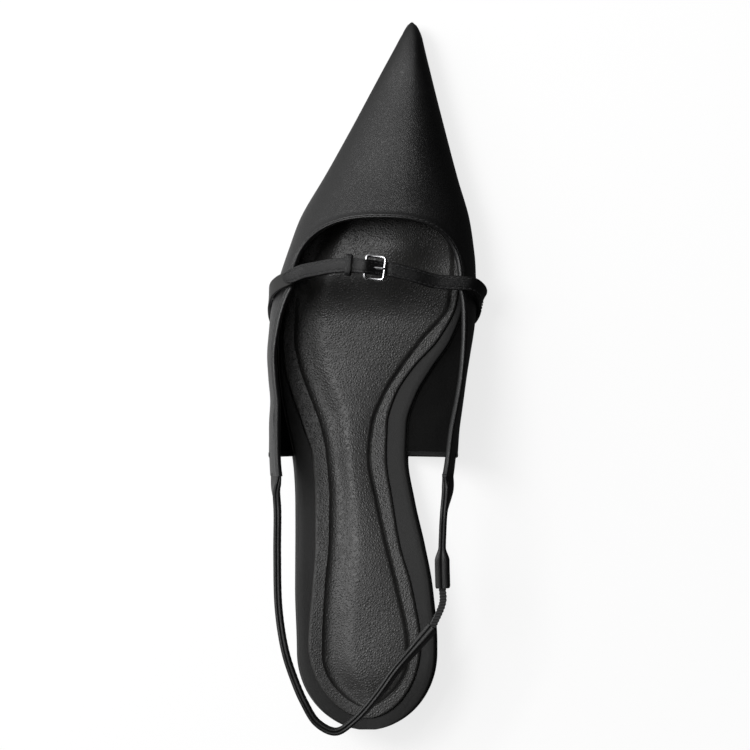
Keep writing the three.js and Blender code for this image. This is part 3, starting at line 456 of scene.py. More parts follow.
def wall_point(along, rise, inset, lift, tab_share=0):
    low_at, low_around = sole_edge(along)
    high_at, high_around = topline(along)
    tab = TAB_LENGTH / LENGTH * tab_share * (1 - smooth_step(0, 0.05, min(along, 1 - along)))
    at = low_at + (high_at - low_at) * rise - tab
    around = low_around + (high_around - low_around) * rise
    ahead = max(0, (at - THROAT_FRONT) / (1 - THROAT_FRONT))
    toe_inset = TOE_WALL * (inset / WALL) if inset > 0 else 0
    station = at - toe_inset / LENGTH * ahead ** 2
    return last_surface(station, around, inset - lift, toe_inset)


def line_length(along):
    points = [wall_point(along, i / 12, 0, 0) for i in range(13)]
    return sum((b - a).length for a, b in zip(points, points[1:]))


# Slack of the leather: shallow rises and troughs across the vamp and quarters.
# at, across: middle. long, wide: reach, all shares of LENGTH and BALL_WIDTH.
# turn: degrees. depth: metres.
SLACK = (
    (0.780, -0.02, 0.030, 0.24, 12, 0.00022),
    (0.835, 0.22, 0.034, 0.13, -20, -0.00018),
    (0.755, 0.30, 0.016, 0.12, 35, 0.00025),
    (0.742, -0.16, 0.014, 0.10, -30, 0.00022),
    (0.900, 0.12, 0.040, 0.10, 0, 0.00015),
    (0.560, -0.44, 0.035, 0.06, 0, 0.0004),
    (0.500, 0.45, 0.030, 0.06, 0, 0.0004),
    (0.440, -0.44, 0.024, 0.06, 0, -0.0003),
    (0.640, 0.49, 0.020, 0.05, 0, 0.0004),
)


def waves(rows, x, y):
    """The height that a table of rises and troughs adds at a place."""
    total = 0
    for at, across, long, wide, turn, high in rows:
        dy = y - lengthwise(at)
        dx = x - across * BALL_WIDTH
        a = math.radians(turn)
        u = dy * math.cos(a) + dx * math.sin(a)
        v = dx * math.cos(a) - dy * math.sin(a)
        total += high * bell(u, 0, long * LENGTH) * bell(v, 0, wide * BALL_WIDTH)
    return total


# Folded edge of the topline: share of its width from the wall, share of its rise
BINDING_ROWS = ((0.04, 0.6), (0.10, 1), (0.28, 1), (0.36, 0.5), (0.43, -1.0),
                (0.50, 0.5), (0.58, 1.1), (0.74, 0.9))
UPPER_LINES = 300
UPPER_RISES = 46
ROLL_STEPS = 6
ROLL_SHARE = 0.22
LEATHER_SIDE, LEATHER_BACK, LEATHER_FOLD = 0, 1, 2


def upper_piece(materials):
    loops = []
    for k in range(UPPER_LINES + 1):
        along = k / UPPER_LINES
        length = line_length(along)
        bound = 1 - BINDING_WIDTH / length
        foot = 1 - TAB_HEIGHT / length
        rises = [bound * i / UPPER_RISES for i in range(UPPER_RISES + 1)]
        tabs = [smooth_step(foot - 0.001 / length, foot, rise) for rise in rises]
        outer = []
        for rise, tab in zip(rises, tabs):
            flat = wall_point(along, rise, 0, 0)
            outer.append(wall_point(along, rise, waves(SLACK, flat.x, flat.y), 0, tab))
        for share, lift in BINDING_ROWS:
            outer.append(wall_point(along, bound + share * (1 - bound), 0, BINDING_RISE * lift, 1))
        for i in range(ROLL_STEPS):
            turn = math.pi * (i + 0.5) / ROLL_STEPS
            top = 1 - ROLL_SHARE * (1 - math.sin(turn)) * (1 - bound)
            inset = WALL * (0.5 - 0.5 * math.cos(turn)) * 0.98 + 1e-5
            outer.append(wall_point(along, top, inset, 0, 1))
        inner = [wall_point(along, rise, WALL, 0, tab) for rise, tab in zip(rises, tabs)]
        inner += [wall_point(along, bound + share * (1 - bound), WALL, 0, 1) for share in (0.3, 0.65)]
        fill = len(outer) - len(inner)
        filled = [inner[0].lerp(inner[1], (i + 1) / (fill + 1)) for i in range(fill)]
        loops.append(outer + (inner[:1] + filled + inner[1:])[::-1])
    chain = len(loops[0]) // 2

    def slot_of(_, i):
        if i < UPPER_RISES:
            return LEATHER_SIDE
        return LEATHER_FOLD if i < chain else LEATHER_BACK
    piece = loft("upper_leather", loops, materials, slot_of, 48)
    return place_piece(piece, "upper_leather", "upper")


# Sole parts
EDGE_ROUND = 0.0007
EDGE_UNDER = 0.0009
UNDER_INSET = 0.0002
PLATE_ENDS = (0.0010, 0.9990)
PLATE_STATIONS = 200
TOP_STEPS = 12
OUTSOLE_SIDE = range(TOP_STEPS, TOP_STEPS + 5)
OUTSOLE_UNDER_END = 29


def rounded_corner(x, y, high, round_, turns):
    """Points of a rounded upper edge, about its middle line."""
    turned = [math.radians(turn) for turn in turns]
    return [Vector((x + round_ * math.sin(a), y, high - round_ + round_ * math.cos(a))) for a in turned]


def outsole_piece(materials):
    loops = []
    for at in stations(*PLATE_ENDS, PLATE_STATIONS):
        margin = WAIST_MARGIN + (TREAD_MARGIN - WAIST_MARGIN) * smooth_step(0.36, 0.45, at)
        left, right = plate_edges(at, plan, SOLE_SIDES, margin, 0, 0)
        y, low, high = lengthwise(at), sole_under(at), sole_top(at)
        round_ = min(EDGE_ROUND, (right - left) / 4)
        across = right - left - 2 * round_
        loop = [Vector((left + round_ + across * i / TOP_STEPS, y, high)) for i in range(TOP_STEPS + 1)]
        loop += rounded_corner(right - round_, y, high, round_, (30, 60, 90))
        loop.append(Vector((right, y, low + EDGE_UNDER)))
        loop.append(Vector((right - 2 * UNDER_INSET, y, low + UNDER_INSET)))
        loop += [Vector((right - round_ - across * i / TOP_STEPS, y, low)) for i in range(TOP_STEPS + 1)]
        loop.append(Vector((left + UNDER_INSET, y, low + 1.5 * UNDER_INSET)))
        loop.append(Vector((left, y, low + EDGE_UNDER)))
        loop.append(Vector((left, y, high - round_)))
        loops.append(loop)

    def slot_of(_, i):
        return 0 if i in OUTSOLE_SIDE or i > OUTSOLE_UNDER_END else 1
    piece = loft("outsole_leather", loops, materials, slot_of, 50)
    return place_piece(piece, "sole", "outsole")


HEEL_ROWS = 48
HEEL_LEVELS = 10
HEEL_HOLLOW = 0.0004
TREAD_BEVEL = 0.0003
TREAD_PROUD = 0.00025


def heel_rows(level):
    back = WAIST_MARGIN + HEEL_TAPER * level
    breast = HEEL_LENGTH - HEEL_TAPER * level
    rows = []
    for i in range(HEEL_ROWS + 1):
        u = i / HEEL_ROWS
        eased = 1 - math.cos(math.pi / 2 * u)
        start = back + HEEL_BACK_GAP + (breast - back - HEEL_BACK_GAP) * (0.35 * u + 0.65 * eased)
        at = start / LENGTH
        margin = -HEEL_INSET - HEEL_SIDE_TAPER * level
        left, right = plate_edges(at, plan, SOLE_SIDES, margin, back, 0)
        rows.append((at, left, right))
    return rows


def heel_loop(level, height_of, swell=0):
    rows = heel_rows(level)
    lefts = [Vector((left - swell, lengthwise(at), height_of(at))) for at, left, right in rows]
    rights = [Vector((right + swell, lengthwise(at), height_of(at))) for at, left, right in rows]
    return lefts + rights[::-1]


def heel_piece(materials):
    floor = TOP_PIECE + CLEARANCE * 0.4
    levels = [i / HEEL_LEVELS for i in range(HEEL_LEVELS + 1)]
    loops = []
    for level in levels:
        def height_of(at, level=level):
            ceiling = sole_under(at) - CLEARANCE * 0.3
            return ceiling + (floor - ceiling) * level
        loops.append(heel_loop(level, height_of, -HEEL_HOLLOW * math.sin(math.pi * level)))
    piece = loft("heel_cover", loops, materials, None, 35)
    return place_piece(piece, "heel", "heel")


def top_piece(materials):
    loops = [heel_loop(1, lambda at: TOP_PIECE), heel_loop(1, lambda at: TOP_PIECE - TREAD_BEVEL, TREAD_PROUD),
             heel_loop(1, lambda at: TREAD_BEVEL, TREAD_PROUD), heel_loop(1, lambda at: 0)]
    piece = loft("heel_tread", loops, materials, None, 35)
    return place_piece(piece, "top_piece", "heel_top_piece")


INSOLE_ROUND = 0.0009
INSOLE_INSET = 0.0002
INSOLE_STEPS = 24
INSOLE_TOE_INSET = TOE_WALL + 0.003
FOOTBED_BACK = 0.0046
FOOTBED_TOE_INSET = INSOLE_TOE_INSET + 0.008
CUSHION_BACK = 0.0088
CUSHION_ROUND = 0.019
INSOLE_LOW = CLEARANCE
INSOLE_HIGH = CLEARANCE + INSOLE_THICKNESS


def insole_piece(materials):
    loops = []
    tip = 1 - (INSOLE_TOE_INSET + 2 * INSOLE_INSET) / LENGTH
    for at in stations(PLATE_ENDS[0], tip, PLATE_STATIONS):
        left, right = plate_edges(at, plan, SOLE_SIDES, -INSOLE_INSET, 0, INSOLE_TOE_INSET)
        y = lengthwise(at)
        low, high = sole_top(at) + INSOLE_LOW, sole_top(at) + INSOLE_HIGH
        round_ = min(INSOLE_ROUND, (right - left) / 4)
        across = right - left - 2 * round_
        chain = rounded_corner(left + round_, y, high, round_, (-90, -60, -30, 0))
        chain += [Vector((left + round_ + across * i / INSOLE_STEPS, y, high)) for i in range(1, INSOLE_STEPS)]
        chain += rounded_corner(right - round_, y, high, round_, (0, 30, 60, 90))
        loops.append(chain + [Vector((p.x, y, low)) for p in chain[::-1]])
    piece = loft("insole_cover", loops, materials, None, 50)
    return place_piece(piece, "insole", "insole")


# Rises and troughs of the footbed's leather, in the columns of SLACK
SOCK_WAVES = (
    (0.674, 0.14, 0.026, 0.12, 0, 0.0015),
    (0.690, 0.02, 0.012, 0.20, 12, 0.0004),
    (0.655, 0.34, 0.040, 0.16, 0, -0.0030),
    (0.672, 0.22, 0.010, 0.14, 40, 0.00025),
    (0.676, -0.20, 0.012, 0.10, -10, -0.00025),
    (0.600, 0.05, 0.030, 0.20, 0, -0.0003),
    (0.660, -0.26, 0.030, 0.14, 0, 0.0010),
    (0.480, -0.10, 0.040, 0.16, 0, 0.0003),
    (0.150, 0.00, 0.040, 0.14, 0, -0.0004),
)

GROOVE_FALL = 0.0010
FALL_START = 0.12
GROOVE_FLOOR = 0.0022
GROOVE_RISE = 0.0100
SOCK_LEAST = 0.00015
SOCK_SHARE = 0.80
RIM_ROUND = 0.0011
RIM_FOOT = 0.0002
RIM_STEPS = 4
END_GAP = 0.0003
SOCK_STATIONS = 240
LIP = 0.0002
BAND_STEPS = 8
SIDE_STEPS = 5
CROWN_STEPS = 36
THROAT_SWELL = 0.7
THROAT_SHELF = 0.0034
HEEL_DIP = 0.0010
GROOVE_INNER = 0.0010
GROOVE_DEPTH = 0.0011


def footbed_piece(materials):
    loops = []
    tip = 1 - (FOOTBED_TOE_INSET + 2 * END_GAP) / LENGTH
    for at in stations((FOOTBED_BACK + END_GAP) / LENGTH, tip, SOCK_STATIONS):
        y = lengthwise(at)
        low = sole_top(at) + INSOLE_HIGH
        left, right = plate_edges(at, pad, PAD_COLUMNS[1:3], 0, FOOTBED_BACK, FOOTBED_TOE_INSET)
        cushion_at = (at * LENGTH - CUSHION_BACK) / CUSHION_ROUND
        closing = math.sqrt(min(1, max(0, 1 - max(0, 1 - cushion_at) ** 2)))
        nose = end_round(at, 0, FOOTBED_TOE_INSET)
        middle = (pad["cushion_outer"](at) + pad["cushion_inner"](at)) / 2 * BALL_WIDTH
        half = (pad["cushion_inner"](at) - pad["cushion_outer"](at)) / 2 * BALL_WIDTH * closing * nose
        sunk = GROOVE_DEPTH * smooth_step(0, 0.3, closing) * smooth_step(0, 0.6, nose)
        sunk *= 1 - smooth_step(0.565, 0.635, at)
        full = 1 + THROAT_SWELL * smooth_step(0.562, 0.672, at)
        shelf = THROAT_SHELF * smooth_step(0.575, 0.645, at)
        dip = HEEL_DIP * (1 - smooth_step(0, 0.8, cushion_at)) * smooth_step(0, 0.25, closing)
        high = low + FOOTBED_THICKNESS * SOCK_SHARE
        edge_r = min(GROOVE_INNER, max(1e-5, (right - middle - half) / 3))
        floor_from = min(GROOVE_FLOOR, max(1e-5, half * 0.3))
        rising = min(GROOVE_RISE, max(1e-5, half * 0.9))
        rim_l = min(RIM_ROUND, (middle - half - left) / 3)
        rim_r = min(RIM_ROUND, (right - middle - half) / 3)
        rim = [math.pi / 2 * i / RIM_STEPS for i in range(RIM_STEPS + 1)]
        rim_in = [1 - math.cos(a) for a in rim]
        rim_up = [low + RIM_FOOT + (high - low - RIM_FOOT) * math.sin(a) for a in rim]
        top = [(left + rim_l * share, z) for share, z in zip(rim_in, rim_up)]
        start, stop = left + rim_l, middle - half - LIP
        for i in range(1, BAND_STEPS + 1):
            top.append((start + (stop - start) * i / BAND_STEPS, high))
        for i in range(1, SIDE_STEPS + 1):
            u = i / SIDE_STEPS
            top.append((stop + LIP * u, high - sunk * FALL_START * u * u))
        for i in range(1, CROWN_STEPS):
            u = i / CROWN_STEPS
            u = u - 0.16 * math.sin(math.tau * u) / math.tau * 2
            x = middle - half + 2 * half * u
            from_left, from_right = 2 * half * u, 2 * half * (1 - u)
            rise_l = smooth_step(floor_from, floor_from + rising, from_left)
            rise_r = smooth_step(0, edge_r * 1.2, from_right)
            fall = FALL_START + (1 - FALL_START) * (1 - math.exp(-from_left / GROOVE_FALL))
            low_by = max(fall * (1 - rise_l), 1 - rise_r)
            crown = FOOTBED_CROWN * full * max(0, math.sin(math.pi * u)) ** 0.8
            crown *= smooth_step(0, 0.5, closing) * nose
            z = high - sunk * low_by + (crown + shelf + waves(SOCK_WAVES, x, y) - dip) * min(rise_l, rise_r)
            top.append((x, max(z, low + SOCK_LEAST)))
        top.append((middle + half, high - sunk))
        for i in range(1, SIDE_STEPS + 1):
            u = i / SIDE_STEPS
            top.append((middle + half + edge_r * 0.5 * u, high - sunk * math.cos(math.pi / 2 * u)))
        start, stop = middle + half + edge_r * 0.5, right - rim_r
        for i in range(1, BAND_STEPS + 1):
            top.append((start + (stop - start) * i / BAND_STEPS, high))
        top += [(right - rim_r * share, z) for share, z in zip(rim_in[-2::-1], rim_up[-2::-1])]
        chain = [Vector((x, y, z)) for x, z in top]
        back = [Vector((x, y, low)) for x, z in top[::-1]]
        loops.append(chain + back)
    piece = loft("footbed_sock", loops, materials, None, 60)
    place_piece(piece, "footbed", "footbed")
    return piece


# A smooth route through points, as the frame's straps run
class Route:
    def __init__(self, points, dense=900):
        self.points = [Vector(p) for p in points]
        self.samples = [self.at_share(i / dense) for i in range(dense + 1)]
        self.lengths = [0]
        for a, b in zip(self.samples, self.samples[1:]):
            self.lengths.append(self.lengths[-1] + (b - a).length)
        self.length = self.lengths[-1]

    def at_share(self, t):
        points = self.points
        last = len(points) - 1
        place = last * t
        i = min(int(place), last - 1)
        weight = place - i
        p1, p2 = points[i], points[i + 1]
        p0 = points[i - 1] if i > 0 else points[0] * 2 - points[1]
        p3 = points[i + 2] if i + 2 <= last else points[last] * 2 - points[last - 1]
        d0 = max((p0 - p1).length ** 0.5, 1e-6)
        d1 = max((p1 - p2).length ** 0.5, 1e-6)
        d2 = max((p2 - p3).length ** 0.5, 1e-6)
        t1 = ((p1 - p0) / d0 - (p2 - p0) / (d0 + d1) + (p2 - p1) / d1) * d1
        t2 = ((p2 - p1) / d1 - (p3 - p1) / (d1 + d2) + (p3 - p2) / d2) * d1
        c2 = p1 * -3 + p2 * 3 - t1 * 2 - t2
        c3 = p1 * 2 - p2 * 2 + t1 + t2
        return p1 + t1 * weight + c2 * weight ** 2 + c3 * weight ** 3

    def at(self, u):
        target = min(max(u, 0), 1) * self.length
        low = min(bisect.bisect_right(self.lengths, target), len(self.lengths) - 1) - 1
        high = low + 1
        span = self.lengths[high] - self.lengths[low]
        share = (target - self.lengths[low]) / span if span > 0 else 0
        return self.samples[low].lerp(self.samples[high], share)

    def tangent(self, u):
        return (self.at(min(1, u + 0.001)) - self.at(max(0, u - 0.001))).normalized()

    def frame(self, u, hint):
        along = self.tangent(u)
        side = (hint - along * hint.dot(along)).normalized()
        return self.at(u), along, side, side.cross(along).normalized()


# Section of a strap: two layers of leather, folded edges and the line between the layers.
# across: share of the half width. face: share of the half thickness.
STRAP_CORNER = ((-0.93, 0.0), (-0.975, 0.12), (-1.00, 0.38), (-0.99, 0.66), (-0.955, 0.88), (-0.90, 1.00),
                (-0.75, 1.02), (-0.70, 0.93), (-0.65, 1.02), (-0.35, 1.10))
STRAP_SECTION = (
    *STRAP_CORNER, (0.0, 1.13), *[(-w, f) for w, f in STRAP_CORNER[::-1]],
    *[(-w, -f) for w, f in STRAP_CORNER[1:6]],
    *[(w, -1.00) for w in (0.6, 0.3, 0.1, 0.0, -0.1, -0.3, -0.6, -0.75)],
    *[(w, -f) for w, f in STRAP_CORNER[5:1:-1]], (-0.985, -0.24), (-0.975, -0.12),
)


def strap_piece(name, node, route, count, hint_of, size_of, materials, section=STRAP_SECTION, shape=None):
    loops = []
    for u in even(count):
        centre, _, side, face = route.frame(u, hint_of(u))
        width, thickness = size_of(u)
        loop = []
        for w, f in section:
            if shape:
                w, f = shape(u, w, f)
            loop.append(centre + side * (w * width / 2) + face * (f * thickness / 2))
        loops.append(loop)

    def slot_of(_, i):
        ahead = section[(i + 1) % len(section)]
        if abs(section[i][0] + ahead[0]) / 2 > 0.95:
            return 1
        return 0 if section[i][1] + ahead[1] > 0 else 2
    piece = loft(name, loops, materials, slot_of, 55)
    return place_piece(piece, "elastic" if node == "heel_elastic" else "strap_leather", node)


def even(count):
    return [i / count for i in range(count + 1)]


def route_point(row):
    across, at, height = row
    return Vector((across * BALL_WIDTH, lengthwise(at), height * INSTEP_HEIGHT))


UPRIGHT = Vector((0, 0, 1))
TAB_GAP = 2 * CLEARANCE
ELASTIC_START = 0.005


def tab_end(along):
    length = line_length(along)
    middle = wall_point(along, 1 - HEEL_STRAP_WIDTH / 2 / length, WALL / 2, 0, 1)
    top = wall_point(along, 1, WALL / 2, 0, 1)
    rising = (top - middle).normalized()
    middle.y -= TAB_GAP
    behind = middle.copy()
    behind.y -= HEEL_STRAP_WIDTH / 2
    return middle, behind, rising


FORWARD_OUT = Vector((-1, 1, 0)).normalized()


def turning(rising, share):
    return lambda u: rising.lerp(UPRIGHT, smooth_step(0, share, u))


def leaning(rising, share):
    upright = turning(rising, share)
    lean = HEEL_STRAP_LEAN / HEEL_STRAP_WIDTH
    return lambda u: upright(u) + FORWARD_OUT * (lean * smooth_step(0.62, 0.85, u))


# The buckle's place on the instep strap
BUCKLE_X = BUCKLE_ACROSS * BALL_WIDTH


def crossing_y(x):
    return lengthwise(crossing_at(x / BALL_WIDTH))


BUCKLE_MIDDLE = Vector((BUCKLE_X, crossing_y(BUCKLE_X), STRAP_TOP))
STRAP_WAY = Vector((0.002, crossing_y(BUCKLE_X + 0.001) - crossing_y(BUCKLE_X - 0.001), 0)).normalized()
STRAP_SIDE = Vector((-STRAP_WAY.y, STRAP_WAY.x, 0))
HALF_SPAN = 0.031
LAYER_STEP = STRAP_THICKNESS + CLEARANCE
BAR_REACH = BUCKLE_LENGTH / 2 - BUCKLE_WIRE / 2
UNDER_BAR = BUCKLE_WIRE / 2 + CLEARANCE + STRAP_THICKNESS / 2
OVER_BAR = UNDER_BAR + LAYER_STEP + CLEARANCE / 2
KEEPER_WAY = -BAR_REACH - KEEPER_FROM_BAR
KEPT_LAYERS = 1.9
FREE_END = -0.378
OUTER_SHIFT = 0.00215
UNDER_SAG = 0.00035


def by_buckle(way, rise, side=0):
    return BUCKLE_MIDDLE + STRAP_WAY * way + STRAP_SIDE * side + UPRIGHT * rise


def crossing_point(x, rise):
    drop = STRAP_RISE * ((x - BUCKLE_X) / HALF_SPAN) ** 2
    return Vector((x, crossing_y(x), STRAP_TOP - UNDER_BAR - drop + rise))


def side_points(sign, shift):
    most = STRAP_SLACK_OUTER if sign < 0 else STRAP_SLACK_INNER
    points = []
    for at, around, slack in SIDE_ROUTE:
        offset = STRAP_THICKNESS / 2 + CLEARANCE + most * slack
        points.append(last_surface(at + shift, sign * around, -offset, 0))
    return points


def outer_strap_points():
    points = side_points(-1, OUTER_SHIFT / LENGTH)
    points += [crossing_point(x, 0) for x in (-0.024, -0.017, -0.010)]
    points.append(by_buckle(-BAR_REACH - 0.0012, -UNDER_BAR))
    for degrees in (-90, -45, 0, 45, 90):
        turn = math.radians(degrees)
        points.append(by_buckle(-BAR_REACH + UNDER_BAR * math.cos(turn), UNDER_BAR * math.sin(turn)))
    points.append(by_buckle(-BAR_REACH - 0.0016, UNDER_BAR - 0.0006))
    points.append(by_buckle(-BAR_REACH - FOLD_LENGTH, -UNDER_BAR + LAYER_STEP))
    return points


def inner_strap_points(outer_route):
    def above(x, layers):
        """A place over the outer strap's upper part, so many layers up."""
        steps = 400
        for i in range(steps + 1):
            here = outer_route.at_share(i / steps)
            if here.x > x and here.z > STRAP_TOP / 2:
                break
        u = i / steps
        along = (outer_route.at_share(min(1, u + 0.002)) - outer_route.at_share(u - 0.002)).normalized()
        return here + Vector((-along.z, 0, along.x)).normalized() * (layers * LAYER_STEP)
    kept_rise = crossing_point(BUCKLE_X + KEEPER_WAY, 0).z - STRAP_TOP + LAYER_STEP * KEPT_LAYERS
    points = side_points(1, 0) + [crossing_point(x, 0) for x in (0.026, 0.018)]
    for way, rise in ((BAR_REACH + 0.0025, -UNDER_BAR - UNDER_SAG),
                      (BAR_REACH + 0.0004, -UNDER_BAR - UNDER_SAG),
                      (0, (OVER_BAR - UNDER_BAR) / 2), (-BAR_REACH, OVER_BAR),
                      (-BAR_REACH - 0.002, OVER_BAR - 0.0003), (KEEPER_WAY, kept_rise)):
        points.append(by_buckle(way, rise))
    for x, layers in ((-0.013, 1.3), (-0.018, 1.12), (-0.023, 1.12), (-0.027, 1.12),
                      (FREE_END * BALL_WIDTH, 1.2)):
        points.append(above(x, layers))
    return points


# Stitches: short rods half sunk in the leather, all in one mesh
STITCH_RINGS = ((-1.0, 0.35), (-0.7, 0.9), (0, 1.05), (0.7, 0.9), (1.0, 0.35))
STITCH_SIDES = 6
LINE_SAMPLES = 1200


def stitch_row(name, places, material, slot):
    points, faces = [], []
    for centre, along, normal in places:
        side = along.cross(normal).normalized()
        faces += tube_faces(len(STITCH_RINGS), STITCH_SIDES, False, len(points))
        for share, size in STITCH_RINGS:
            sunk = STITCH_RADIUS * 0.35 * share * share
            middle = centre + along * (share * STITCH_LENGTH / 2) - normal * sunk
            for j in range(STITCH_SIDES):
                a = math.tau * j / STITCH_SIDES
                points.append(middle + (side * math.cos(a) + normal * math.sin(a)) * STITCH_RADIUS * size)
    return place_piece(mesh_piece(name, points, faces, [material], 70), slot)


def along_line(point_of, normal_of, start=0.0, stop=1.0):
    """Places at even steps along a line, each with its direction and normal."""
    pitch = STITCH_LENGTH + STITCH_GAP
    samples = [start + (stop - start) * i / LINE_SAMPLES for i in range(LINE_SAMPLES + 1)]
    line = [point_of(u) for u in samples]
    places, travelled, due = [], 0, pitch / 2
    for i in range(1, len(line)):
        step = (line[i] - line[i - 1]).length
        travelled += step
        if travelled >= due and step > 0:
            along = (line[i] - line[i - 1]).normalized()
            places.append((line[i], along, normal_of(samples[i])))
            due += pitch
    return places


# Materials
def set_inputs(tree, node, values):
    """Sets a node's properties, and its inputs to values or to links from other nodes."""
    for key, value in values.items():
        socket = key.replace("_", " ") if isinstance(key, str) else key
        if isinstance(key, str) and socket not in node.inputs:
            setattr(node, key, value)
        elif isinstance(value, bpy.types.NodeSocket):
            tree.links.new(value, node.inputs[socket])
        else:
            node.inputs[socket].default_value = value


def make_node(tree, kind, output, values):
    """A new node, from which the named output is returned."""
    node = tree.nodes.new("ShaderNode" + kind)
    set_inputs(tree, node, values)
    return node.outputs[output]


def new_material(name):
    material = bpy.data.materials.new(name)
    material.use_nodes = True
    tree = material.node_tree
    return material, tree, tree.nodes["Principled BSDF"]


def object_place(tree):
    return make_node(tree, "TexCoord", "Object", {})


def noise(tree, source, scale, detail, **more):
    values = {"Vector": source, "Scale": scale, "Detail": detail, **more}
    return make_node(tree, "TexNoise", "Fac", values)


def ribs(tree, source, scale, distortion, way):
    values = {"Vector": source, "Scale": scale, "Distortion": distortion, "bands_direction": way}
    return make_node(tree, "TexWave", "Fac", values)


def two_tones(tree, source, dark, light, start=0, end=1):
    node = tree.nodes.new("ShaderNodeValToRGB")
    first, last = node.color_ramp.elements
    first.position, first.color = start, (*dark, 1)
    last.position, last.color = end, (*light, 1)
    tree.links.new(source, node.inputs["Fac"])
    return node.outputs["Color"]


def bump(tree, height, strength, distance, under=None):
    values = {"Height": height, "Strength": strength, "Distance": distance}
    if under:
        values["Normal"] = under
    return make_node(tree, "Bump", "Normal", values)


def mapped(tree, source, **values):
    return make_node(tree, "MapRange", "Result", {"Value": source, **values})


GLOSS_SPREAD = 0.03


def leather(name, dark, light, rough, cell, grain, fine, patch=0.012, crease=0, specular=0.5,
            pebble_round=0.22):
    """Leather: pebbles with valleys between them that are darkened in the colour as painted shade, pores,
    patches of tone and of gloss.
    """
    material, tree, shader = new_material(name)
    source = object_place(tree)
    warp = make_node(tree, "TexNoise", "Color", {"Vector": source, "Scale": 0.35 / cell, "Detail": 2})
    shifted = make_node(tree, "VectorMath", "Vector",
                        {"operation": "MULTIPLY_ADD", 0: warp, 1: [cell * 0.9] * 3, 2: source})
    cells = make_node(tree, "TexVoronoi", "Distance",
                      {"feature": "DISTANCE_TO_EDGE", "Vector": shifted, "Scale": 1 / cell})
    pebble = mapped(tree, cells, interpolation_type="SMOOTHSTEP", From_Max=pebble_round)
    pores = noise(tree, source, 3.2 / cell, 3, Roughness=0.65)
    patches = noise(tree, source, 1 / patch, 3, Roughness=0.55)
    tone = two_tones(tree, patches, dark, light, 0.32, 0.68)
    # The colour is darkened in the valleys between the pebbles: painted shade.
    shade = mapped(tree, pebble, To_Min=0.35)
    colour = make_node(tree, "Mix", "Result", {"data_type": "RGBA", "blend_type": "MULTIPLY",
                                               "Factor": 0.45, "A": tone, "B": shade})
    gloss = mapped(tree, patches, From_Min=0.3, From_Max=0.7,
                   To_Min=rough - GLOSS_SPREAD, To_Max=rough + GLOSS_SPREAD)
    normal = bump(tree, pebble, grain, cell * 0.22)
    normal = bump(tree, pores, fine, cell * 0.10, normal)
    if crease:
        lines = noise(tree, source, 220, 2.5, Distortion=0.6)
        normal = bump(tree, lines, crease, 0.0006, normal)
    set_inputs(tree, shader, {"Base Color": colour, "Roughness": gloss, "Normal": normal,
                              "Specular IOR Level": specular})
    return material


def ribbed(name):
    """Woven elastic: ribs across the tape and a fine weave over them, the weave darker in its hollows and
    lighter on its tops as painted shade and painted highlight.
    """
    material, tree, shader = new_material(name)
    source = object_place(tree)
    weave = ribs(tree, source, 1 / 0.0034, 0.8, "Y")
    normal = bump(tree, weave, 0.8, 0.0003)
    normal = bump(tree, ribs(tree, source, 1 / 0.0072, 0.4, "Z"), 0.5, 0.0002, normal)
    normal = bump(tree, noise(tree, source, 4000, 2), 0.3, 0.0001, normal)
    # The colour follows the weave's height, dark in its hollows and light on its tops: painted shade and
    # painted highlight.
    colour = two_tones(tree, weave, (0.002, 0.002, 0.002), (0.022, 0.022, 0.023))
    set_inputs(tree, shader, {"Base Color": colour, "Roughness": 0.8, "Normal": normal, "Sheen Weight": 0.2})
    return material


def polished(name, tone):
    """Polished plated wire with hairline scratches and small dull patches."""
    material, tree, shader = new_material(name)
    source = object_place(tree)
    drawn = make_node(tree, "Mapping", "Vector", {"Vector": source, "Scale": (1, 9, 9)})
    hair = noise(tree, drawn, 900, 4, Roughness=0.7)
    dull = noise(tree, source, 350, 2)
    set_inputs(tree, shader, {
        "Base Color": two_tones(tree, dull, [c * 0.86 for c in tone], tone),
        "Roughness": mapped(tree, dull, To_Min=0.08, To_Max=0.22),
        "Normal": bump(tree, hair, 0.12, 0.00005), "Metallic": 1})
    return material


def thread(name, tone):
    """Waxed thread: twisted strands, darker in the colour in the grooves between them as painted shade."""
    material, tree, shader = new_material(name)
    twist = ribs(tree, object_place(tree), 1 / 0.0016, 0.5, "DIAGONAL")
    # The colour is halved in the grooves of the twist: painted shade.
    set_inputs(tree, shader, {
        "Base Color": two_tones(tree, twist, [c * 0.5 for c in tone], tone),
        "Roughness": 0.5, "Normal": bump(tree, twist, 0.4, 0.00008)})
    return material


# Name, dark and light tone, roughness, pebble size, depth of the pebbles and of the pores
VAMP = leather("vamp_leather", (0.0028, 0.0028, 0.0030), (0.0040, 0.0040, 0.0042), 0.41, 0.00055, 0.40, 0.34,
               patch=0.03, specular=0.475)
LINING = leather("lining_leather", (0.0022, 0.0022, 0.0022), (0.0036, 0.0036, 0.0035), 0.62, 0.0007, 0.3, 0.3,
                 specular=0.12)
BINDING = leather("binding_leather", (0.003, 0.003, 0.0032), (0.005, 0.005, 0.0053), 0.38, 0.0004, 0.25, 0.3)
SOCK = leather("footbed_leather", (0.022, 0.0216, 0.0209), (0.030, 0.0294, 0.0284), 0.43, 0.00095, 0.56, 0.60,
               specular=0.53, pebble_round=0.55)
BOARD = leather("insole_leather", (0.012, 0.012, 0.0118), (0.016, 0.016, 0.0157), 0.55, 0.0005, 0.2, 0.4,
                specular=0.3)
STRAP = leather("strap_leather", (0.0028, 0.0028, 0.003), (0.0046, 0.0046, 0.0049), 0.44, 0.00045, 0.45, 0.4,
                crease=0.15, specular=0.38)
EDGE = leather("painted_edge", (0.003, 0.003, 0.003), (0.0045, 0.0045, 0.0047), 0.40, 0.0004, 0.2, 0.35,
               specular=0.3)
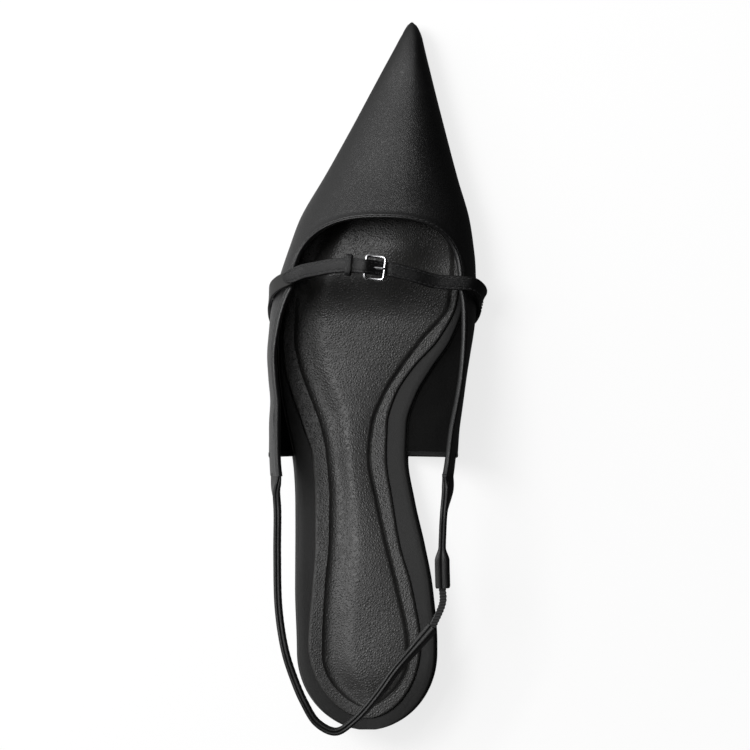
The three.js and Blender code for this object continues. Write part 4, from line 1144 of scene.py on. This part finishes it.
STRAP_BACK = leather("strap_lining", (0.010, 0.0098, 0.0095), (0.014, 0.0137, 0.013), 0.55, 0.0007, 0.2, 0.2)
HEEL = leather("heel_leather", (0.005, 0.005, 0.0052), (0.008, 0.008, 0.0084), 0.36, 0.0005, 0.2, 0.2)
SOLE_EDGE = leather("sole_edge", (0.006, 0.006, 0.006), (0.012, 0.012, 0.012), 0.40, 0.0006, 0.12, 0.35)
SOLE_UNDER = leather("sole_underside", (0.012, 0.012, 0.012), (0.022, 0.021, 0.020), 0.62, 0.0009, 0.35, 0.4)
RUBBER = leather("tread_rubber", (0.009, 0.009, 0.009), (0.015, 0.015, 0.015), 0.70, 0.0008, 0.25, 0.5)
ELASTIC = ribbed("ribbed_elastic")
METAL = polished("buckle_metal", (0.78, 0.78, 0.80))
THREAD = thread("black_thread", (0.030, 0.030, 0.031))

upper_piece([VAMP, LINING, BINDING])


CUT_DEPTH = 0.0017
CUT_PROUD = 0.00016
CUT_STEPS = 60
CUT_ROWS = ((CUT_DEPTH, 0.9), (CUT_DEPTH * 0.75, 1), (CUT_DEPTH * 0.45, 1), (CUT_DEPTH * 0.15, 1),
            (-CUT_PROUD, 0.82), (-2 * CUT_PROUD, 0.35))


def cut_binding(name, along):
    """The folded edge of a quarter's cut, from the sole to under its tab."""
    stop = 1 - (TAB_HEIGHT + 0.0006) / line_length(along)
    loops = []
    for i in range(CUT_STEPS + 1):
        rise = stop * i / CUT_STEPS
        outer, inner = wall_point(along, rise, 0, 0), wall_point(along, rise, WALL, 0)
        across = (outer - inner).normalized()
        middle = (outer + inner) / 2
        half = (outer - inner).length / 2 + CUT_PROUD
        loop = [middle + Vector((0, y, 0)) + across * (half * share) for y, share in CUT_ROWS]
        loops.append(loop + [p - across * (2 * (p - middle).dot(across)) for p in loop[::-1]])
    return place_piece(loft(name, loops, [BINDING], None, 60), "upper_leather")


cut_binding("outer_quarter_edge", 0)
cut_binding("inner_quarter_edge", 1)
outsole_piece([SOLE_EDGE, SOLE_UNDER])
heel_piece([HEEL])
top_piece([RUBBER])
insole_piece([BOARD])
footbed_piece([SOCK])

# Straps round the heel. Each starts inside the tab of its quarter, thinner there.
ENTRY = 0.0016
ENTRY_SHARE = 0.68
ENTRY_REACH = (0.0005, 0.006)


def entering(u, route):
    return ENTRY_SHARE + (1 - ENTRY_SHARE) * smooth_step(*ENTRY_REACH, u * route.length)


def strap_route(tab, rows):
    inside = tab[0] + (tab[0] - tab[1]).normalized() * ENTRY
    return Route([inside, tab[1]] + [route_point(row) for row in rows])


STRAP_SET = [STRAP, EDGE, STRAP_BACK]
tab = tab_end(0)
heel_route = strap_route(tab, HEEL_ROUTE)
heel_hint = leaning(tab[2], 0.07)
tab = tab_end(1)
quarter_route = strap_route(tab, QUARTER_ROUTE)
quarter_hint = turning(tab[2], 0.4)
sleeve_from = 1 - SLEEVE_LENGTH / quarter_route.length


def heel_size(u):
    extra = HEEL_FOLD_EXTRA * smooth_step(1 - HEEL_FOLD_LENGTH / heel_route.length, 1, u)
    return HEEL_STRAP_WIDTH, (HEEL_STRAP_THICKNESS + extra) * entering(u, heel_route)


def quarter_size(u):
    extra = SLEEVE_EXTRA * smooth_step(sleeve_from - 0.1, sleeve_from + 0.02, u)
    tuck = (1 - 0.10 * bell(u, 1.0, 0.01)) * entering(u, quarter_route)
    return HEEL_STRAP_WIDTH + extra * 0.3, (HEEL_STRAP_THICKNESS + extra) * tuck


strap_piece("heel_strap_leather", "heel_strap", heel_route, 260, heel_hint, heel_size, STRAP_SET)
strap_piece("quarter_strap_leather", "quarter_strap", quarter_route, 160, quarter_hint, quarter_size,
            STRAP_SET)

start, before = route_point(QUARTER_ROUTE[-1]), route_point(QUARTER_ROUTE[-2])
finish, after = route_point(HEEL_ROUTE[-1]), route_point(HEEL_ROUTE[-2])
leaving = (start - before).normalized()
elastic_route = Route([start + leaving * CLEARANCE, start + leaving * (CLEARANCE + ELASTIC_START),
                       finish + (finish - after).normalized() * TAB_GAP])
ELASTIC_SIDES = 32
ELASTIC_RIB = 0.0013
ELASTIC_SECTION = tuple((math.cos(a), math.sin(a)) for a in
                        [math.tau * (0.5 - i / ELASTIC_SIDES) for i in range(ELASTIC_SIDES)])


def gathers(u, w, f):
    """A flat section with ribs across it."""
    rib = 1 + 0.07 * math.sin(math.tau * u * elastic_route.length / ELASTIC_RIB)
    return max(-1, min(1, w * 1.25)), max(-1, min(1, f * 1.5)) * rib


strap_piece("elastic_tape", "heel_elastic", elastic_route, 160, lambda u: UPRIGHT,
            lambda u: (ELASTIC_WIDTH, ELASTIC_THICKNESS), [ELASTIC] * 3, ELASTIC_SECTION, gathers)

# Instep strap, keeper and buckle
SHOULDER_ROW = 5
TURN_BELOW = 0.014
TURN_ABOVE = 0.005
TURN_OUTER = 0.12
TURN_INNER = 0.55
outer_route = Route(outer_strap_points())
inner_route = Route(inner_strap_points(outer_route))


def turned_in(route, sign):
    """The strap's heelward edge turns in toward the wall where the strap stands off it."""
    most = TURN_OUTER if sign < 0 else TURN_INNER
    shoulder = route.points[SHOULDER_ROW].z

    def hint(u):
        height = route.at(u).z
        rising = smooth_step(shoulder - TURN_BELOW, shoulder - TURN_BELOW / 2, height)
        ending = 1 - smooth_step(shoulder, shoulder + TURN_ABOVE, height)
        return STRAP_SIDE + Vector((sign * most * rising * ending, 0, 0))
    return hint


def outer_size(u):
    return STRAP_WIDTH, STRAP_THICKNESS


POINT_SHARE = 0.32
POINT_LENGTH = 0.0036
THIN_LENGTH = 0.002


def pointed_end(u):
    left = (1 - u) * inner_route.length
    return min(1, POINT_SHARE + (1 - POINT_SHARE) * math.sqrt(min(1, left / POINT_LENGTH))), left


def inner_size(u):
    share, left = pointed_end(u)
    return STRAP_WIDTH * share, STRAP_THICKNESS * (0.55 + 0.45 * min(1, left / THIN_LENGTH))


strap_piece("instep_strap_outer_leather", "instep_strap_outer", outer_route, 220, turned_in(outer_route, -1),
            outer_size, STRAP_SET)
strap_piece("instep_strap_inner_leather", "instep_strap_inner", inner_route, 280, turned_in(inner_route, 1),
            inner_size, STRAP_SET)


def ring_piece(name, path, normals, radius, materials, flat=1.0, sides=14, closed=True):
    """A wire along a path, closed or with flat ends. radius: of the point's number."""
    points = []
    count = len(path)
    for i in range(count):
        behind = path[i - 1] if closed or i > 0 else path[i]
        ahead = path[(i + 1) % count] if closed or i < count - 1 else path[i]
        along = (ahead - behind).normalized()
        face = (normals[i] - along * normals[i].dot(along)).normalized()
        side = along.cross(face)
        size = radius(i)
        for j in range(sides):
            a = math.tau * j / sides
            points.append(path[i] + side * (math.cos(a) * size) + face * (math.sin(a) * size * flat))
    return mesh_piece(name, points, tube_faces(count, sides, closed), materials, 60)


WIRE_PITCH = 0.0004


def rounded_path(width, height, corner, steps):
    path = []
    for index, (sx, sy) in enumerate(((1, -1), (1, 1), (-1, 1), (-1, -1))):
        for i in range(steps + 1):
            a = math.pi / 2 * (index - 1 + i / steps)
            path.append((sx * (width / 2 - corner) + corner * math.cos(a),
                         sy * (height / 2 - corner) + corner * math.sin(a)))
    return path


def filled_path(path, pitch):
    out = []
    for a, b in zip(path, path[1:] + path[:1]):
        span = math.hypot(b[0] - a[0], b[1] - a[1])
        count = max(1, int(span / pitch))
        for i in range(count):
            out.append((a[0] + (b[0] - a[0]) * i / count, a[1] + (b[1] - a[1]) * i / count))
    return out


BUCKLE_FLAT = 0.86
BUCKLE_BOW = 0.0003
buckle_path = [by_buckle(x, BUCKLE_BOW * (x / BAR_REACH) ** 2, y) for x, y in filled_path(
    rounded_path(BUCKLE_LENGTH - BUCKLE_WIRE, BUCKLE_WIDTH - BUCKLE_WIRE, BUCKLE_CORNER, 6), WIRE_PITCH)]
buckle = ring_piece("buckle_wire_frame", buckle_path, [UPRIGHT] * len(buckle_path),
                    lambda i: BUCKLE_WIRE / 2, [METAL], flat=BUCKLE_FLAT, sides=18)
place_piece(buckle, "buckle", "buckle_frame")

EYE_RADIUS = BUCKLE_WIRE / 2 * math.sqrt(2) + CLEARANCE * 0.6 + PRONG_WIRE / 2
EYE_STEPS = 25
EYE_FROM, EYE_TURN = 90, 290
PRONG_RISE = BUCKLE_WIRE / 2 + CLEARANCE + PRONG_WIRE / 2
PRONG_END = BAR_REACH + BUCKLE_WIRE * 0.45
PRONG_STEPS = 29
PRONG_DROP = 0.00025
prong_path = []
for i in range(EYE_STEPS + 1):
    a = math.radians(EYE_FROM + EYE_TURN * (1 - i / EYE_STEPS))
    prong_path.append(by_buckle(-BAR_REACH + EYE_RADIUS * math.cos(a), EYE_RADIUS * math.sin(a)))
for i in range(1, PRONG_STEPS + 1):
    u = i / PRONG_STEPS
    rise = EYE_RADIUS + (PRONG_RISE - EYE_RADIUS) * smooth_step(0, 1, u) - PRONG_DROP * smooth_step(0.9, 1, u)
    prong_path.append(by_buckle(-BAR_REACH + (PRONG_END + BAR_REACH) * u, rise))


def prong_radius(i):
    return PRONG_WIRE / 2 * (1 - 0.45 * smooth_step(len(prong_path) - 5, len(prong_path), i))


prong = ring_piece("buckle_prong_wire", prong_path, [STRAP_SIDE] * len(prong_path), prong_radius, [METAL],
                   closed=False)
place_piece(prong, "buckle", "buckle_prong")


KEEPER_CORNER = 0.0009
KEEPER_SIDES = 20


def keeper_piece(materials):
    lower = crossing_point(BUCKLE_X + KEEPER_WAY, 0).z - STRAP_TOP
    low = lower - STRAP_THICKNESS / 2 - 5 * CLEARANCE
    high = lower + LAYER_STEP * KEPT_LAYERS + STRAP_THICKNESS / 2 + 3.5 * CLEARANCE
    width = STRAP_WIDTH + 3 * CLEARANCE
    middle = (high + low) / 2
    corners = rounded_path(width + KEEPER_THICKNESS, high - low + KEEPER_THICKNESS, KEEPER_CORNER, 6)
    ring = filled_path(corners, WIRE_PITCH)
    section = []
    for i in range(KEEPER_SIDES):
        a = math.tau * i / KEEPER_SIDES
        w, f = math.cos(a), math.sin(a)
        section.append((math.copysign(abs(w) ** 0.6, w) * KEEPER_LENGTH / 2,
                        math.copysign(abs(f) ** 0.75, f) * KEEPER_THICKNESS / 2))
    points = []
    count = len(ring)
    for i, (y, z) in enumerate(ring):
        behind, ahead = ring[i - 1], ring[(i + 1) % count]
        tangent = Vector((ahead[0] - behind[0], ahead[1] - behind[1])).normalized()
        out = Vector((tangent.y, -tangent.x))
        pucker = 1 + 0.10 * math.sin(i * 0.9) * bell(z, high - middle, 0.0012)
        for w, f in section:
            points.append(by_buckle(KEEPER_WAY + w * pucker, middle + z + out.y * f, y + out.x * f))
    piece = mesh_piece("keeper_loop", points, tube_faces(count, len(section), True), materials, 60)
    return place_piece(piece, "strap_leather", "strap_keeper")


keeper_piece([STRAP])


# Stitching along the topline and the straps
def wall_normal(along, rise):
    step = 0.004
    a = wall_point(min(1, along + step), rise, 0, 0) - wall_point(max(0, along - step), rise, 0, 0)
    b = wall_point(along, min(1, rise + step), 0, 0) - wall_point(along, rise - step, 0, 0)
    normal = a.cross(b).normalized()
    centre = wall_point(along, rise, WALL, 0)
    return normal if normal.dot(wall_point(along, rise, 0, 0) - centre) > 0 else -normal


STITCH_IN = BINDING_WIDTH * 0.57
STITCH_SUNK = -BINDING_RISE * 0.4
STITCH_ACROSS = 0.70


def stitch_rise(u):
    return 1 - STITCH_IN / line_length(u)


topline_rows = along_line(lambda u: wall_point(u, stitch_rise(u), 0, STITCH_SUNK, 1),
                          lambda u: wall_normal(u, stitch_rise(u)))
stitch_row("topline_stitches", topline_rows, THREAD, "upper_leather")


def strap_stitches(name, straps):
    """A row of stitches near each edge of the straps' faces."""
    places = []
    for route, hint_of, size_of, start, stop in straps:
        for share in (-STITCH_ACROSS, STITCH_ACROSS):
            def place(u):
                centre, _, side, face = route.frame(u, hint_of(u))
                width, thickness = size_of(u)
                return centre + side * (share * width / 2) + face * (thickness / 2 * 0.97)
            places += along_line(place, lambda u: route.frame(u, hint_of(u))[3], start, stop)
    stitch_row(name, places, THREAD, "strap_leather")


strap_stitches("heel_strap_stitches", ((heel_route, heel_hint, heel_size, 0.005, 0.995),
                                       (quarter_route, quarter_hint, quarter_size, 0.005, 0.995)))
strap_stitches("instep_strap_stitches", ((outer_route, lambda u: STRAP_SIDE, outer_size, 0.01, 0.60),
                                         (inner_route, lambda u: STRAP_SIDE, inner_size, 0.01, 0.97)))

# Floor. To camera rays it is evenly bright. To other rays it glows, graded from bright on the left to nearly
# black on the right: painted light and painted shade that the leather reflects.
FLOOR_REACH = 3
FLOOR_SEEN = 0.785
floor_corners = [(x * FLOOR_REACH, y * FLOOR_REACH, 0) for x, y in ((-1, -1), (1, -1), (1, 1), (-1, 1))]
floor_mesh = bpy.data.meshes.new("floor")
floor_mesh.from_pydata(floor_corners, [], [(0, 1, 2, 3)])
floor = bpy.data.objects.new("floor", floor_mesh)
bpy.context.scene.collection.objects.link(floor)
floor_material, tree, shader = new_material("pale_floor")
set_inputs(tree, shader, {"Base Color": (0.22, 0.22, 0.22, 1), "Roughness": 0.7,
                          "Emission Color": (1, 1, 1, 1), "Emission Strength": FLOOR_SEEN})
floor_x = make_node(tree, "SeparateXYZ", "X", {"Vector": object_place(tree)})
# The glow that other rays see: painted light on the left, painted shade on the right.
floor_glow_grade = mapped(tree, floor_x, interpolation_type="SMOOTHSTEP", From_Min=-0.10, From_Max=0.05,
                    To_Min=0.95, To_Max=0.04)
floor_glow = make_node(tree, "Emission", "Emission", {"Color": floor_glow_grade})
seen = make_node(tree, "LightPath", "Is Camera Ray", {})
floor_mix = make_node(tree, "MixShader", "Shader", {"Fac": seen, 1: floor_glow, 2: shader.outputs["BSDF"]})
tree.links.new(floor_mix, tree.nodes["Material Output"].inputs["Surface"])
floor_mesh.materials.append(floor_material)

SHOE_MIDDLE = Vector((0.003, 0.109, 0))


def area_light(name, place, size_x, size_y, power):
    data = bpy.data.lights.new(name, "AREA")
    data.shape = "RECTANGLE"
    data.size = size_x
    data.size_y = size_y
    data.energy = power
    lamp = bpy.data.objects.new(name, data)
    lamp.location = place
    lamp.rotation_euler = (SHOE_MIDDLE - Vector(place)).to_track_quat("-Z", "Y").to_euler()
    bpy.context.scene.collection.objects.link(lamp)


area_light("left_softbox", (-0.66, 0.52, 1.42), 0.60, 0.75, 18.3)
area_light("top_card", (-0.10, 0.22, 1.65), 0.5, 0.5, 1.2)

# The sky darkens toward the lower right of the picture
SKY_WAY = (0.87, -0.49, 0)
SKY_STRENGTH = 0.8
world = bpy.data.worlds.new("studio")
bpy.context.scene.world = world
world.use_nodes = True
tree = world.node_tree
sky_place = make_node(tree, "TexCoord", "Generated", {})
sky_way = make_node(tree, "VectorMath", "Value", {"operation": "DOT_PRODUCT", 0: sky_place, 1: SKY_WAY})
sky_turn = mapped(tree, sky_way, From_Min=-1)
sky_tone = two_tones(tree, sky_turn, (1.8, 1.8, 1.8), (0.01, 0.01, 0.01), 0, 0.56)
sky_tone.node.color_ramp.elements.new(0.2).color = (0.72, 0.72, 0.72, 1)
set_inputs(tree, tree.nodes["Background"], {"Color": sky_tone, "Strength": SKY_STRENGTH})

# Camera, straight above the shoe as the photo's is
CAMERA_PLACE = Vector((0.043, 0.106, 1.5))
LOOK_AT = Vector((0.003, 0.109, 0.02))
SENSOR = 36
SEEN_WIDTH = 0.284
camera_data = bpy.data.cameras.new("overhead_camera")
camera = bpy.data.objects.new("overhead_camera", camera_data)
bpy.context.scene.collection.objects.link(camera)
forward = (LOOK_AT - CAMERA_PLACE).normalized()
right = forward.cross(Vector((0, 1, 0))).normalized()
turn = Matrix((right, right.cross(forward), -forward)).transposed().to_4x4()
camera.matrix_world = Matrix.Translation(CAMERA_PLACE) @ turn
camera_data.sensor_width = SENSOR
camera_data.lens = SENSOR * (CAMERA_PLACE - LOOK_AT).length / SEEN_WIDTH
camera_data.clip_end = 20
bpy.context.scene.camera = camera

settings = bpy.context.scene.view_settings
settings.view_transform = "Standard"
settings.look = "None"
settings.exposure = 0
settings.gamma = 1
